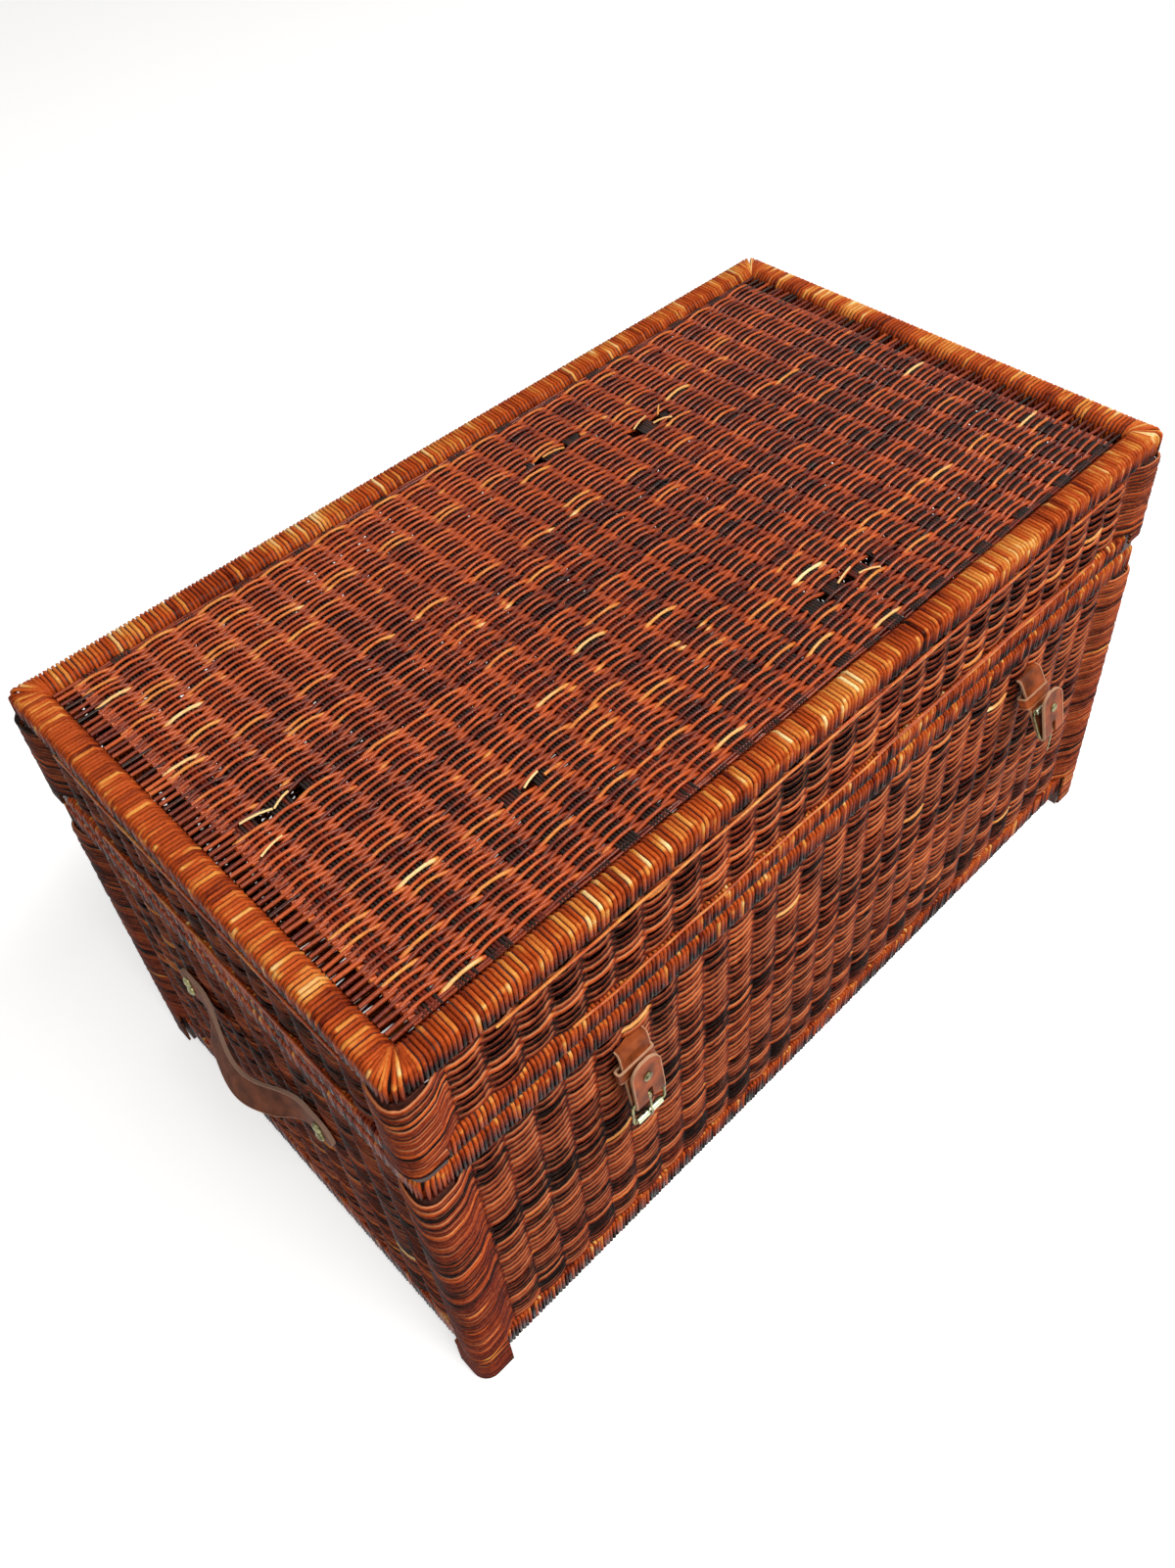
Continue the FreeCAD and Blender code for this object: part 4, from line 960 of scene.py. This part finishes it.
def wrap_rail(rails, side, low, height, chance):
    wrap = bpy.context.scene.chest_wrap
    half = half_of(side) - RAIL_WIDTH
    stations = rail_stations(half, rails.mitred, wrap.pitch)
    count = len(stations)
    # Cloudy tone along the rail, with short groups of rubbed turns
    slow = Wander(chance, 5, 0.03, 0.25)
    turns = np.column_stack([stations, jitter(chance, count, 1)])
    tones = 0.27 + rails.shade + jitter(chance, count, 0.08)
    tones += 0.16 * slow.at(np.arange(count) * wrap.pitch, np.zeros(count))
    streaks = rubbed_streaks(count, chance)
    points = []
    point_tones = []
    for number in range(count - 1):
        for step in range(TURN_POINTS):
            share = step / TURN_POINTS
            base, angle, shift = turns[number] * (1 - share) + turns[number + 1] * share
            far = corner_reach(angle) if rails.mitred else RAIL_WIDTH - rails.inset
            out, up = section(far, height, rails.rounds, wrap.cane)[step]
            stray = shift * TURN_SHIFT + wrap.tilt * (up / height - 0.5) * slow.at(base * 3, 0.4)
            along = base + out * math.sin(angle) + stray
            points.append((along, RAIL_WIDTH - out * math.cos(angle), low + up))
            tone = tones[number] + streaks[number, step] + wear_and_painted_light_at(out, up, far, height)
            point_tones.append(tone + chance.gauss(0, 0.05))
    points = np.array(points)
    strands = Strands()
    strands.add(wall_place(side, points[:, 0], points[:, 1], points[:, 2]), point_tones)
    name = rails.prefix + side
    made = strands.lay(name + "_wrap", wrap.cane)
    # The cores of mitred rails meet inside the corner
    core_half = half + (RAIL_WIDTH * 0.62 if rails.mitred else 0)
    add_core(made, side, core_half, rails.inset, low, height)
    cane = cane_material("varnished_cane_wrap", 0.04, 0.05)
    finish_piece(made, rails.body, [name], cane)
    made.data.materials.append(wood_material("stained_hardwood"))


def add_core(made, side, half, inset, low, height):
    """Puts the rail's wooden core inside its wrap."""
    skin = 2.7 * MM
    corners = wall_place(
        side, [-half, half], [RAIL_WIDTH - skin, inset + skin], [low + skin, low + height - skin],
    )
    bm = bmesh.new()
    bm.from_mesh(made.data)
    core = bmesh.ops.create_cube(bm, size=1)["verts"]
    size = Vector(np.abs(corners[1] - corners[0]))
    middle = Vector((corners[0] + corners[1]) / 2)
    bmesh.ops.scale(bm, verts=core, vec=size)
    bmesh.ops.translate(bm, verts=core, vec=middle)
    faces = {face for vert in core for face in vert.link_faces}
    edges = list({edge for face in faces for edge in face.edges})
    for face in faces:
        face.material_index = 1
    bmesh.ops.bevel(
        bm, geom=edges, offset=4.5 * MM, offset_type="OFFSET", affect="EDGES", segments=2, profile=0.5,
        material=-1,
    )
    bm.to_mesh(made.data)
    bm.free()


class ChestRails(bpy.types.Operator):
    """Rails wound with cane: base rails, rim, and the lid's lower and upper rails"""
    bl_idname = "chest.rails"
    bl_label = "Cane-wrapped rails"

    def execute(self, context):
        chance = random.Random(context.scene.chest_weave.seed + 3)
        rounded = context.scene.chest_wrap.rounding
        square = 2.5 * MM
        for rails in (
            Rails("base_rail_", "chest", False, 2 * MM, (square, square), -0.10),
            Rails("body_rim_", "chest", True, 0, (rounded, square), -0.07),
            Rails("lid_lower_rail_", "lid", False, 0, (rounded, square), -0.07),
            Rails("lid_top_rail_", "lid", True, 0, (rounded, rounded), 0.0),
        ):
            for side in SIDES:
                low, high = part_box(rails.prefix + side)
                wrap_rail(rails, side, low.z, high.z - low.z, chance)
        return {"FINISHED"}


class ChestFrame(bpy.types.Operator):
    """Finish of the CAD pieces that are kept: posts, battens, hinges and root rivets"""
    bl_idname = "chest.kept"
    bl_label = "Posts, battens and hinges"

    def execute(self, context):
        for name, cad in frame["nodes"].items():
            wooden = "post" in name or "batten" in name
            finish = wood_material("stained_hardwood") if wooden else brass_material("aged_brass")
            cad.data.materials.clear()
            cad.data.materials.append(finish)
        return {"FINISHED"}


# Leather straps
def thicken(bm, thickness):
    """Gives a sheet its thickness, half to each side, with crisp cut edges."""
    bm.normal_update()
    for vert in bm.verts:
        vert.co += vert.normal * (thickness / 2)
    bmesh.ops.solidify(bm, geom=list(bm.faces), thickness=thickness)
    bm.normal_update()
    for edge in bm.edges:
        if edge.calc_face_angle(0) > math.radians(50):
            edge.smooth = False


def leather_strip(course, width, thickness, tip, slot):
    """Leather strap: a sheet bent along a course of (point, outward) pairs, rounded at its far
    end, with a slot from one length to another, then thickened."""
    lengths = [0.0]
    for (before, _), (after, _) in zip(course, course[1:]):
        lengths.append(lengths[-1] + (after - before).length)
    last = len(course) - 1
    bm = bmesh.new()
    rim = bm.verts.layers.float.new("rim")
    bmesh.ops.create_grid(bm, x_segments=last, y_segments=12, size=1)
    slot_start, slot_end, slot_half = slot
    holes = []
    for face in bm.faces:
        middle = face.calc_center_median()
        at = lengths[int((middle.x + 1) / 2 * last)]
        if slot_start <= at < slot_end and abs(middle.y) * width / 2 < slot_half:
            holes.append(face)
    bmesh.ops.delete(bm, geom=holes, context="FACES")
    for vert in bm.verts:
        place = round((vert.co.x + 1) / 2 * last)
        point, outward = course[place]
        share = vert.co.y
        left_over = lengths[-1] - lengths[place]
        half = width / 2
        if left_over < tip:
            half = half - tip + math.sqrt(max(tip ** 2 - (tip - left_over) ** 2, 0))
            half = max(half, width * 0.16)
        vert[rim] = min(half * (1 - abs(share)), left_over)
        crown = (1 - share ** 4) * thickness * 0.12
        vert.co = point + Vector((share * half, 0, 0)) + outward * crown
    thicken(bm, thickness)
    return bm


def handle_leather():
    colours = bpy.context.scene.chest_colours
    return leather_material("suede_handle_leather", colours.handle, colours.handle_edge, 0.55)


def strap_leather():
    colours = bpy.context.scene.chest_colours
    return leather_material("tanned_strap_leather", colours.strap, colours.strap_edge, 0.36)


# Handles: half the free grip, and the studded end beyond it. In the middle the grip bows out from
# the wall, sags and leans
GRIP_HALF = 80 * MM
HANDLE_END = 34 * MM
HANDLE_WIDTH = 32 * MM
HANDLE_THICKNESS = 3.5 * MM
HANDLE_LEVEL = 256 * MM
GRIP_BOW = 17 * MM
GRIP_SAG = 19 * MM
GRIP_LEAN = math.radians(20)


def half_handle(side, sign, end, toward):
    """One half of a handle, from its rounded, studded end to the middle of the grip."""
    plane = abs(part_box(side + "_handle_grip")[1 if sign < 0 else 0].x)
    steps = 34
    total = GRIP_HALF + HANDLE_END
    bm = bmesh.new()
    rim = bm.verts.layers.float.new("rim")
    bmesh.ops.create_grid(bm, x_segments=steps, y_segments=10, size=1)
    for vert in bm.verts:
        at = total * (1 - (vert.co.x + 1) / 2)
        swell = math.cos(math.pi / 2 * min(at / GRIP_HALF, 1)) ** 2
        leaning = GRIP_LEAN * min(swell * 3, 1)
        half = HANDLE_WIDTH / 2
        beyond = at - (total - half)
        if beyond > 0:
            half = math.sqrt(max(half ** 2 - beyond ** 2, (half * 0.15) ** 2))
        vert[rim] = min(half * (1 - abs(vert.co.y)), total - at)
        from_top = HANDLE_WIDTH / 2 - half * vert.co.y
        up = HANDLE_LEVEL - GRIP_SAG * swell + HANDLE_WIDTH / 2 - from_top * math.cos(leaning)
        outward = plane + GRIP_BOW * swell + from_top * math.sin(leaning) + HANDLE_THICKNESS / 2
        vert.co = Vector((sign * outward, MIDDLE_Y + toward * at, up))
    thicken(bm, HANDLE_THICKNESS)
    for edge in bm.edges:
        if all(abs(vert.co.y - MIDDLE_Y) < 0.1 * MM for vert in edge.verts):
            edge.smooth = False
    made = mesh_from("%s_handle_%s_half" % (side, end), bm)
    made.data.materials.append(handle_leather())
    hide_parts("handle_ends", side + "_handle_grip")
    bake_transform(made)


class ChestHandles(bpy.types.Operator):
    """Leather handles, each bent from its studded ends to the free grip, and their studs"""
    bl_idname = "chest.handles"
    bl_label = "Handles"

    def execute(self, context):
        for side, sign in (("left", -1), ("right", 1)):
            for end, toward in (("front", -1), ("back", 1)):
                half_handle(side, sign, end, toward)
        radius = 5.6 * MM
        proud = 4 * MM
        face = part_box("handle_studs")[1].x - proud
        from_middle = 97.3 * MM
        bm = bmesh.new()
        for sign in (-1, 1):
            for along in (-from_middle, from_middle):
                for rise in (-6.5 * MM, 6.5 * MM):
                    place = Vector((sign * face, MIDDLE_Y + along, HANDLE_LEVEL + rise))
                    lathe(bm, domed(radius, proud), place, Vector((sign, 0, 0)))
        made = mesh_from("handle_stud_domes", bm)
        finish_piece(made, "chest", ["handle_studs"], brass_material("aged_brass"))
        return {"FINISHED"}


# Turned brass
def domed(radius, height):
    """Profile of a domed head, as (radius, height) pairs from its top down."""
    profile = [(0, height)]
    for step in range(1, 6):
        angle = math.pi / 2 * step / 5
        profile.append((radius * math.sin(angle), height * (0.2 + 0.8 * math.cos(angle))))
    profile.append((radius * 0.97, 0))
    return profile


def lathe(bm, profile, place, outward, closed=False):
    """Adds a turned piece: a profile spun about its own axis, then set in place."""
    known = set(bm.verts)
    verts = [bm.verts.new((radius, 0, height)) for radius, height in profile]
    pairs = list(zip(verts, verts[1:]))
    if closed:
        pairs.append((verts[-1], verts[0]))
    edges = [bm.edges.new(pair) for pair in pairs]
    bmesh.ops.spin(
        bm, geom=verts + edges, cent=(0, 0, 0), axis=(0, 0, 1), angle=2 * math.pi, steps=24,
        use_merge=True,
    )
    new = [vert for vert in bm.verts if vert not in known]
    turned = Vector((0, 0, 1)).rotation_difference(outward).to_matrix().to_4x4()
    bmesh.ops.transform(bm, matrix=Matrix.Translation(place) @ turned, verts=new)
    bmesh.ops.remove_doubles(bm, verts=new, dist=0.001 * MM)


class ChestScrews(bpy.types.Operator):
    """Screws that hold the hinge leaves"""
    bl_idname = "chest.screws"
    bl_label = "Hinge screws"

    def execute(self, context):
        pin = joint_place("lid_hinge")
        face = pin.y - 3.0 * MM
        # A round head with a sunk middle, from the middle outwards
        profile = [
            (radius * MM, height * MM)
            for radius, height in ((0, 0.5), (1.1, 0.5), (1.3, 1.0), (2.6, 0.6), (3.0, 0))
        ]
        for body, drop in (("chest", -14 * MM), ("lid", 14 * MM)):
            bm = bmesh.new()
            for hinge in (-280 * MM, 280 * MM):
                for beside in (-13 * MM, 13 * MM):
                    lathe(bm, profile, Vector((hinge + beside, face, pin.z + drop)), Vector((0, 1, 0)))
            made = mesh_from(body + "_hinge_screws", bm)
            finish_piece(made, body, [], brass_material("aged_brass"))
        return {"FINISHED"}


# How each buckle hangs: lean of its strap, frame, prong and folded end in degrees, and the room
# inside its keeper and the keeper's shift in mm
BUCKLES = {
    "left": {"lean": 10, "frame": 0, "prong": 4, "flap": 4, "inside": 36, "depth": 4.2, "shift": 2},
    "right": {"lean": 28, "frame": 205, "prong": 0, "flap": 16, "inside": 34, "depth": 9, "shift": 1},
}
# The strap, and the radius of the fold round the heel bar
TAB_WIDTH = 32 * MM
TAB_THICKNESS = 2.5 * MM
TAB_DROP = 62 * MM
FOLD = 2 * MM + TAB_THICKNESS / 2
FLAP = 49 * MM
WIRE = 1.3 * MM
# Half the frame's width inside, and how far its lower bar lies below the heel bar
FRAME_HALF = 16.5 * MM
FRAME_DROP = 28 * MM
# Inside radius of what turns on the wire
BORE = 1.6 * MM
ACROSS = Vector((1, 0, 0))


def joint_place(name):
    return Vector(next(joint for joint in frame["joints"] if joint["name"] == name)["pos_m"])


def leaning(degrees):
    """Directions down and front of a piece that leans out from the wall by that angle."""
    lean = math.radians(degrees)
    return Vector((0, -math.sin(lean), -math.cos(lean))), Vector((0, -math.cos(lean), math.sin(lean)))


def buckle_strap(side, sizes, root, heel):
    """Strap with its root: up the inside of the wall, out through the weave, down, round the
    heel bar and up again in front of itself."""
    down, front = leaning(sizes["lean"])
    flap_turn = math.radians(sizes["flap"])
    inner_y = 16.15 * MM
    course = []
    for below in (24, 16, 9, 3.2):
        course.append((root + Vector((0, inner_y, -below * MM)), Vector((0, 1, 0))))
    course.append((root + Vector((0, inner_y - 0.9 * MM, -0.9 * MM)), Vector((0, 0.7, 0.7))))
    for inside in (12, 8, 4, 1):
        course.append((root + Vector((0, inside * MM, 0)), Vector((0, 0, 1))))
    for step in range(1, 17):
        course.append((root + down * (TAB_DROP * step / 16), front))
    lengths_to_heel = 24 * MM + inner_y + TAB_DROP
    for step in range(1, 13):
        angle = (math.pi - flap_turn) * step / 12
        spoke = down * math.sin(angle) - front * math.cos(angle)
        course.append((heel + spoke * FOLD, -spoke))
    spoke = front * math.cos(flap_turn) + down * math.sin(flap_turn)
    rise = front * math.sin(flap_turn) - down * math.cos(flap_turn)
    for step in range(1, 25):
        course.append((heel + spoke * FOLD + rise * (FLAP * step / 24), -spoke))
    slot = (lengths_to_heel - 11 * MM, lengths_to_heel + math.pi * FOLD + 9 * MM, 2.6 * MM)
    bm = leather_strip(course, TAB_WIDTH, TAB_THICKNESS, 14 * MM, slot)
    made = mesh_from(side + "_buckle_strap_leather", bm)
    made.data.materials.append(strap_leather())
    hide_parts(side + "_buckle_strap", "buckle_strap_roots")
    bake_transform(made)
    head = heel + spoke * (FOLD + TAB_THICKNESS / 2) + rise * 29 * MM
    bm = bmesh.new()
    lathe(bm, domed(4.6 * MM, 1.6 * MM), head, spoke)
    rivet = mesh_from(side + "_buckle_rivet_head", bm)
    finish_piece(rivet, side + "_strap", [side + "_buckle_rivet"], brass_material("aged_brass"))


def buckle_keeper(side, sizes, root):
    """Loop of leather round the strap: a ring drawn out along the strap and thickened."""
    down, front = leaning(sizes["lean"])
    leather = 2 * MM
    wide = (sizes["inside"] * MM + leather) / 2
    deep = (sizes["depth"] * MM + leather) / 2
    near = TAB_THICKNESS / 2 + 0.3 * MM
    middle = near - sizes["depth"] * MM / 2
    keeper_width = 11 * MM
    rows = 4
    bm = bmesh.new()
    rim = bm.verts.layers.float.new("rim")
    bmesh.ops.create_circle(bm, segments=56, radius=1)
    edges = list(bm.edges)
    for _ in range(rows):
        grown = bmesh.ops.extrude_edge_only(bm, edges=edges)["geom"]
        verts = [item for item in grown if isinstance(item, bmesh.types.BMVert)]
        edges = [item for item in grown if isinstance(item, bmesh.types.BMEdge)]
        bmesh.ops.translate(bm, verts=verts, vec=(0, 0, 1))
    for vert in bm.verts:
        share = vert.co.z / rows
        vert[rim] = min(share, 1 - share) * keeper_width
        sideways = math.copysign(abs(vert.co.x) ** 0.30, vert.co.x) * wide - sizes["shift"] * MM
        out = math.copysign(abs(vert.co.y) ** 0.30, vert.co.y) * deep + middle
        vert.co = root + down * (17 * MM + share * keeper_width) + ACROSS * sideways + front * out
    thicken(bm, leather * 0.96)
    made = mesh_from(side + "_buckle_keeper_leather", bm)
    finish_piece(made, side + "_strap", [side + "_buckle_keeper"], strap_leather())


def buckle_frame(side, sizes, heel):
    """Wire bent to a frame with rounded corners. Its upper bar is the heel bar."""
    down = leaning(sizes["frame"])[0]
    half = FRAME_HALF + WIRE
    bend = 3.4 * MM
    corners = ((half, 0, -90), (half, FRAME_DROP, 0), (-half, FRAME_DROP, 90), (-half, 0, 180))
    points = []
    for sideways, along, start in corners:
        middle_x = sideways - math.copysign(bend, sideways)
        middle_z = along + (bend if along == 0 else -bend)
        for step in range(6):
            angle = math.radians(start + 90 * step / 5)
            beside = ACROSS * (middle_x + bend * math.cos(angle))
            points.append(tuple(heel + beside + down * (middle_z + bend * math.sin(angle))))
    wire = Strands()
    wire.add(points, 0.5, 1.0, True)
    made = wire.lay(side + "_buckle_frame_wire", WIRE, 3)
    finish_piece(made, side + "_frame", [side + "_buckle_frame"], brass_material("aged_brass"))


def buckle_roller(side, sizes, heel):
    """Rolled tube on the frame's lower bar."""
    down = leaning(sizes["frame"])[0]
    half = 14 * MM
    outside = 3 * MM
    rounding = 0.4 * MM
    profile = [
        (BORE, -half), (outside - rounding, -half), (outside, rounding - half),
        (outside, half - rounding), (outside - rounding, half), (BORE, half),
    ]
    bm = bmesh.new()
    lathe(bm, profile, heel + down * FRAME_DROP, ACROSS, True)
    made = mesh_from(side + "_buckle_roller_tube", bm)
    brightened = brass_material("rubbed_brass", True)
    finish_piece(made, side + "_roller", [side + "_buckle_roller"], brightened)


def buckle_prong(side, sizes, heel):
    """An eye round the heel bar and a tapered tongue in front of it."""
    down, front = leaning(sizes["prong"])
    eye = 2.78 * MM
    eye_half = 1.8 * MM
    bm = bmesh.new()
    profile = [(BORE, -eye_half), (eye, -eye_half), (eye, eye_half), (BORE, eye_half)]
    lathe(bm, profile, heel, ACROSS, True)
    sharp = [edge for edge in bm.edges if edge.calc_face_angle(0) > 1]
    bmesh.ops.bevel(
        bm, geom=sharp, offset=0.3 * MM, offset_type="OFFSET", affect="EDGES", segments=2, profile=0.5,
        material=-1,
    )
    # The tongue starts a little inside the eye
    start = heel + front * (eye - 0.8 * MM)
    sides = bmesh.ops.create_circle(bm, cap_ends=True, segments=10, radius=1)["verts"]
    across_down = Matrix((ACROSS, front, down)).transposed()
    for vert in sides:
        flat = Vector((vert.co.x * 1.2 * MM, vert.co.y * 0.75 * MM, 0))
        vert.co = start + across_down @ flat
    face = next(face for face in bm.faces if len(face.verts) == 10 and sides[0] in face.verts)
    for reach, taper in ((10, 0.95), (20, 0.85), (28, 0.75), (31, 0.55)):
        grown = bmesh.ops.extrude_face_region(bm, geom=[face])["geom"]
        bmesh.ops.delete(bm, geom=[face], context="FACES_ONLY")
        face = next(item for item in grown if isinstance(item, bmesh.types.BMFace))
        centre = start + down * reach * MM
        bmesh.ops.translate(bm, verts=face.verts, vec=centre - face.calc_center_median())
        bmesh.ops.scale(
            bm, verts=face.verts, vec=(taper, taper, taper), space=Matrix.Translation(-centre),
        )
    made = mesh_from(side + "_buckle_prong_tongue", bm)
    finish_piece(made, side + "_prong", [side + "_buckle_prong"], brass_material("aged_brass"))


class ChestBuckles(bpy.types.Operator):
    """Buckle straps with keeper, rivet, frame, roller and prong"""
    bl_idname = "chest.buckles"
    bl_label = "Buckles"

    def execute(self, context):
        for side, sizes in BUCKLES.items():
            root = joint_place(side + "_strap_swing")
            heel = joint_place(side + "_prong_swing")
            buckle_strap(side, sizes, root, heel)
            buckle_keeper(side, sizes, root)
            buckle_frame(side, sizes, heel)
            buckle_roller(side, sizes, heel)
            buckle_prong(side, sizes, heel)
        return {"FINISHED"}


def backdrop_rays(tree):
    """1 for the rays that see the backdrop: from the camera, and by way of mirrors and glass."""
    path = node(tree, "ShaderNodeLightPath")
    seen = maths(tree, "MAXIMUM", path.outputs["Is Camera Ray"], path.outputs["Is Glossy Ray"])
    return maths(tree, "MAXIMUM", seen, path.outputs["Is Transmission Ray"])


# Floor reaching far behind the chest, in metres
FLOOR_HALF = 30
# What the camera was fitted to: the photograph's size and optical centre in pixels, and the
# camera's place in metres
PHOTO_WIDTH = 1200
PHOTO_HEIGHT = 1601
CENTRE_RIGHT = 607.35
CENTRE_DOWN = 669.55
CAMERA_PLACE = Vector((-0.6127, -0.6630, 1.2954))
SENSOR = 36


def lay_floor(shade):
    """Floor, lifted to white for the camera and for mirrors, on top of the light that falls on
    it, so that the chest's shadow stays."""
    bm = bmesh.new()
    bmesh.ops.create_grid(bm, x_segments=1, y_segments=1, size=FLOOR_HALF)
    floor = mesh_from("floor", bm, False)
    material, tree, shader = start_material("pale_floor")
    shader.inputs["Roughness"].default_value = 0.9
    shader.inputs["Specular IOR Level"].default_value = 0.1
    shader.inputs["Base Color"].default_value = tuple(shade) + (1,)
    lift = maths(tree, "MULTIPLY", backdrop_rays(tree), 0.56)
    shader.inputs["Emission Color"].default_value = (1, 1, 1, 1)
    tree.links.new(lift, shader.inputs["Emission Strength"])
    floor.data.materials.append(material)


def light_world(scene):
    """White to the camera and to mirrors, weak as a light."""
    world = bpy.data.worlds.new("studio")
    scene.world = world
    world.use_nodes = True
    tree = world.node_tree
    background = tree.nodes["Background"]
    background.inputs["Color"].default_value = (1, 1, 1, 1)
    strength = maths(tree, "MULTIPLY_ADD", backdrop_rays(tree), 0.85, 0.15)
    tree.links.new(strength, background.inputs["Strength"])


def hang_lamp(name, watts, size, place):
    """Square lamp, aimed at the middle of the chest."""
    lamp = bpy.data.lights.new(name, "AREA")
    lamp.energy = watts
    lamp.size = size
    holder = new_object(name, lamp)
    holder.location = place
    aim = Vector((0, 0, 0.3)) - Vector(place)
    holder.rotation_euler = aim.to_track_quat("-Z", "Y").to_euler()


def set_camera(scene):
    """The photograph's camera: it looks along its azimuth and elevation, then it is rolled."""
    stage = scene.chest_stage
    camera = bpy.data.cameras.new("photo_view")
    holder = new_object("photo_view", camera)
    scene.camera = holder
    camera.sensor_fit = "VERTICAL"
    camera.sensor_height = SENSOR
    camera.lens = stage.focal / PHOTO_HEIGHT * SENSOR
    camera.shift_x = (PHOTO_WIDTH / 2 - CENTRE_RIGHT) / PHOTO_HEIGHT
    camera.shift_y = (CENTRE_DOWN - PHOTO_HEIGHT / 2) / PHOTO_HEIGHT
    camera.clip_end = 50
    back = Vector((
        math.cos(stage.elevation) * math.sin(stage.azimuth),
        -math.cos(stage.elevation) * math.cos(stage.azimuth),
        math.sin(stage.elevation),
    ))
    right = Vector((0, 0, 1)).cross(back).normalized()
    up = back.cross(right)
    rolled_right = right * math.cos(stage.roll) + up * math.sin(stage.roll)
    rolled_up = up * math.cos(stage.roll) - right * math.sin(stage.roll)
    turned = Matrix((rolled_right, rolled_up, back)).transposed().to_4x4()
    holder.matrix_world = Matrix.Translation(CAMERA_PLACE) @ turned


class ChestScene(bpy.types.Operator):
    """Floor, lights and camera"""
    bl_idname = "chest.stage"
    bl_label = "Stage"

    def execute(self, context):
        scene = context.scene
        stage = scene.chest_stage
        scene.view_settings.view_transform = "Standard"
        lay_floor(stage.floor)
        light_world(scene)
        hang_lamp("key", stage.key, 1.3, (2.2, -1.9, 4.2))
        hang_lamp("fill", stage.fill, 1.2, (-0.5, -1.4, 2.4))
        set_camera(scene)
        return {"FINISHED"}


class ChestPanel(bpy.types.Panel):
    """Lists the chest's pieces in the sidebar"""
    bl_idname = "VIEW3D_PT_chest"
    bl_label = "Wicker chest"
    bl_space_type = "VIEW_3D"
    bl_region_type = "UI"
    bl_category = "Chest"

    def draw(self, context):
        layout = self.layout
        for group in ("chest_weave", "chest_wrap", "chest_colours", "chest_stage"):
            values = getattr(context.scene, group)
            for name in values.bl_rna.properties.keys():
                if name not in ("rna_type", "name"):
                    layout.prop(values, name)
        for operator in OPERATORS:
            layout.operator(operator.bl_idname)


GROUPS = {
    "chest_weave": ChestWeave,
    "chest_wrap": ChestWrap,
    "chest_colours": ChestColours,
    "chest_stage": ChestStage,
}
OPERATORS = (
    ChestFrame, ChestWalls, ChestCorners, ChestPanels, ChestStrays, ChestRails, ChestHandles, ChestScrews,
    ChestBuckles, ChestScene,
)


def register():
    for name, group in GROUPS.items():
        bpy.utils.register_class(group)
        setattr(bpy.types.Scene, name, PointerProperty(type=group))
    for operator in OPERATORS:
        bpy.utils.register_class(operator)
    bpy.utils.register_class(ChestPanel)


def unregister():
    bpy.utils.unregister_class(ChestPanel)
    for operator in reversed(OPERATORS):
        bpy.utils.unregister_class(operator)
    for name, group in GROUPS.items():
        delattr(bpy.types.Scene, name)
        bpy.utils.unregister_class(group)


def main():
    register()
    bpy.ops.chest.kept()
    bpy.ops.chest.walls()
    bpy.ops.chest.corners()
    bpy.ops.chest.panels()
    bpy.ops.chest.strays()
    bpy.ops.chest.rails()
    bpy.ops.chest.handles()
    bpy.ops.chest.screws()
    bpy.ops.chest.buckles()
    bpy.ops.chest.stage()


if __name__ == "__main__":
    main()
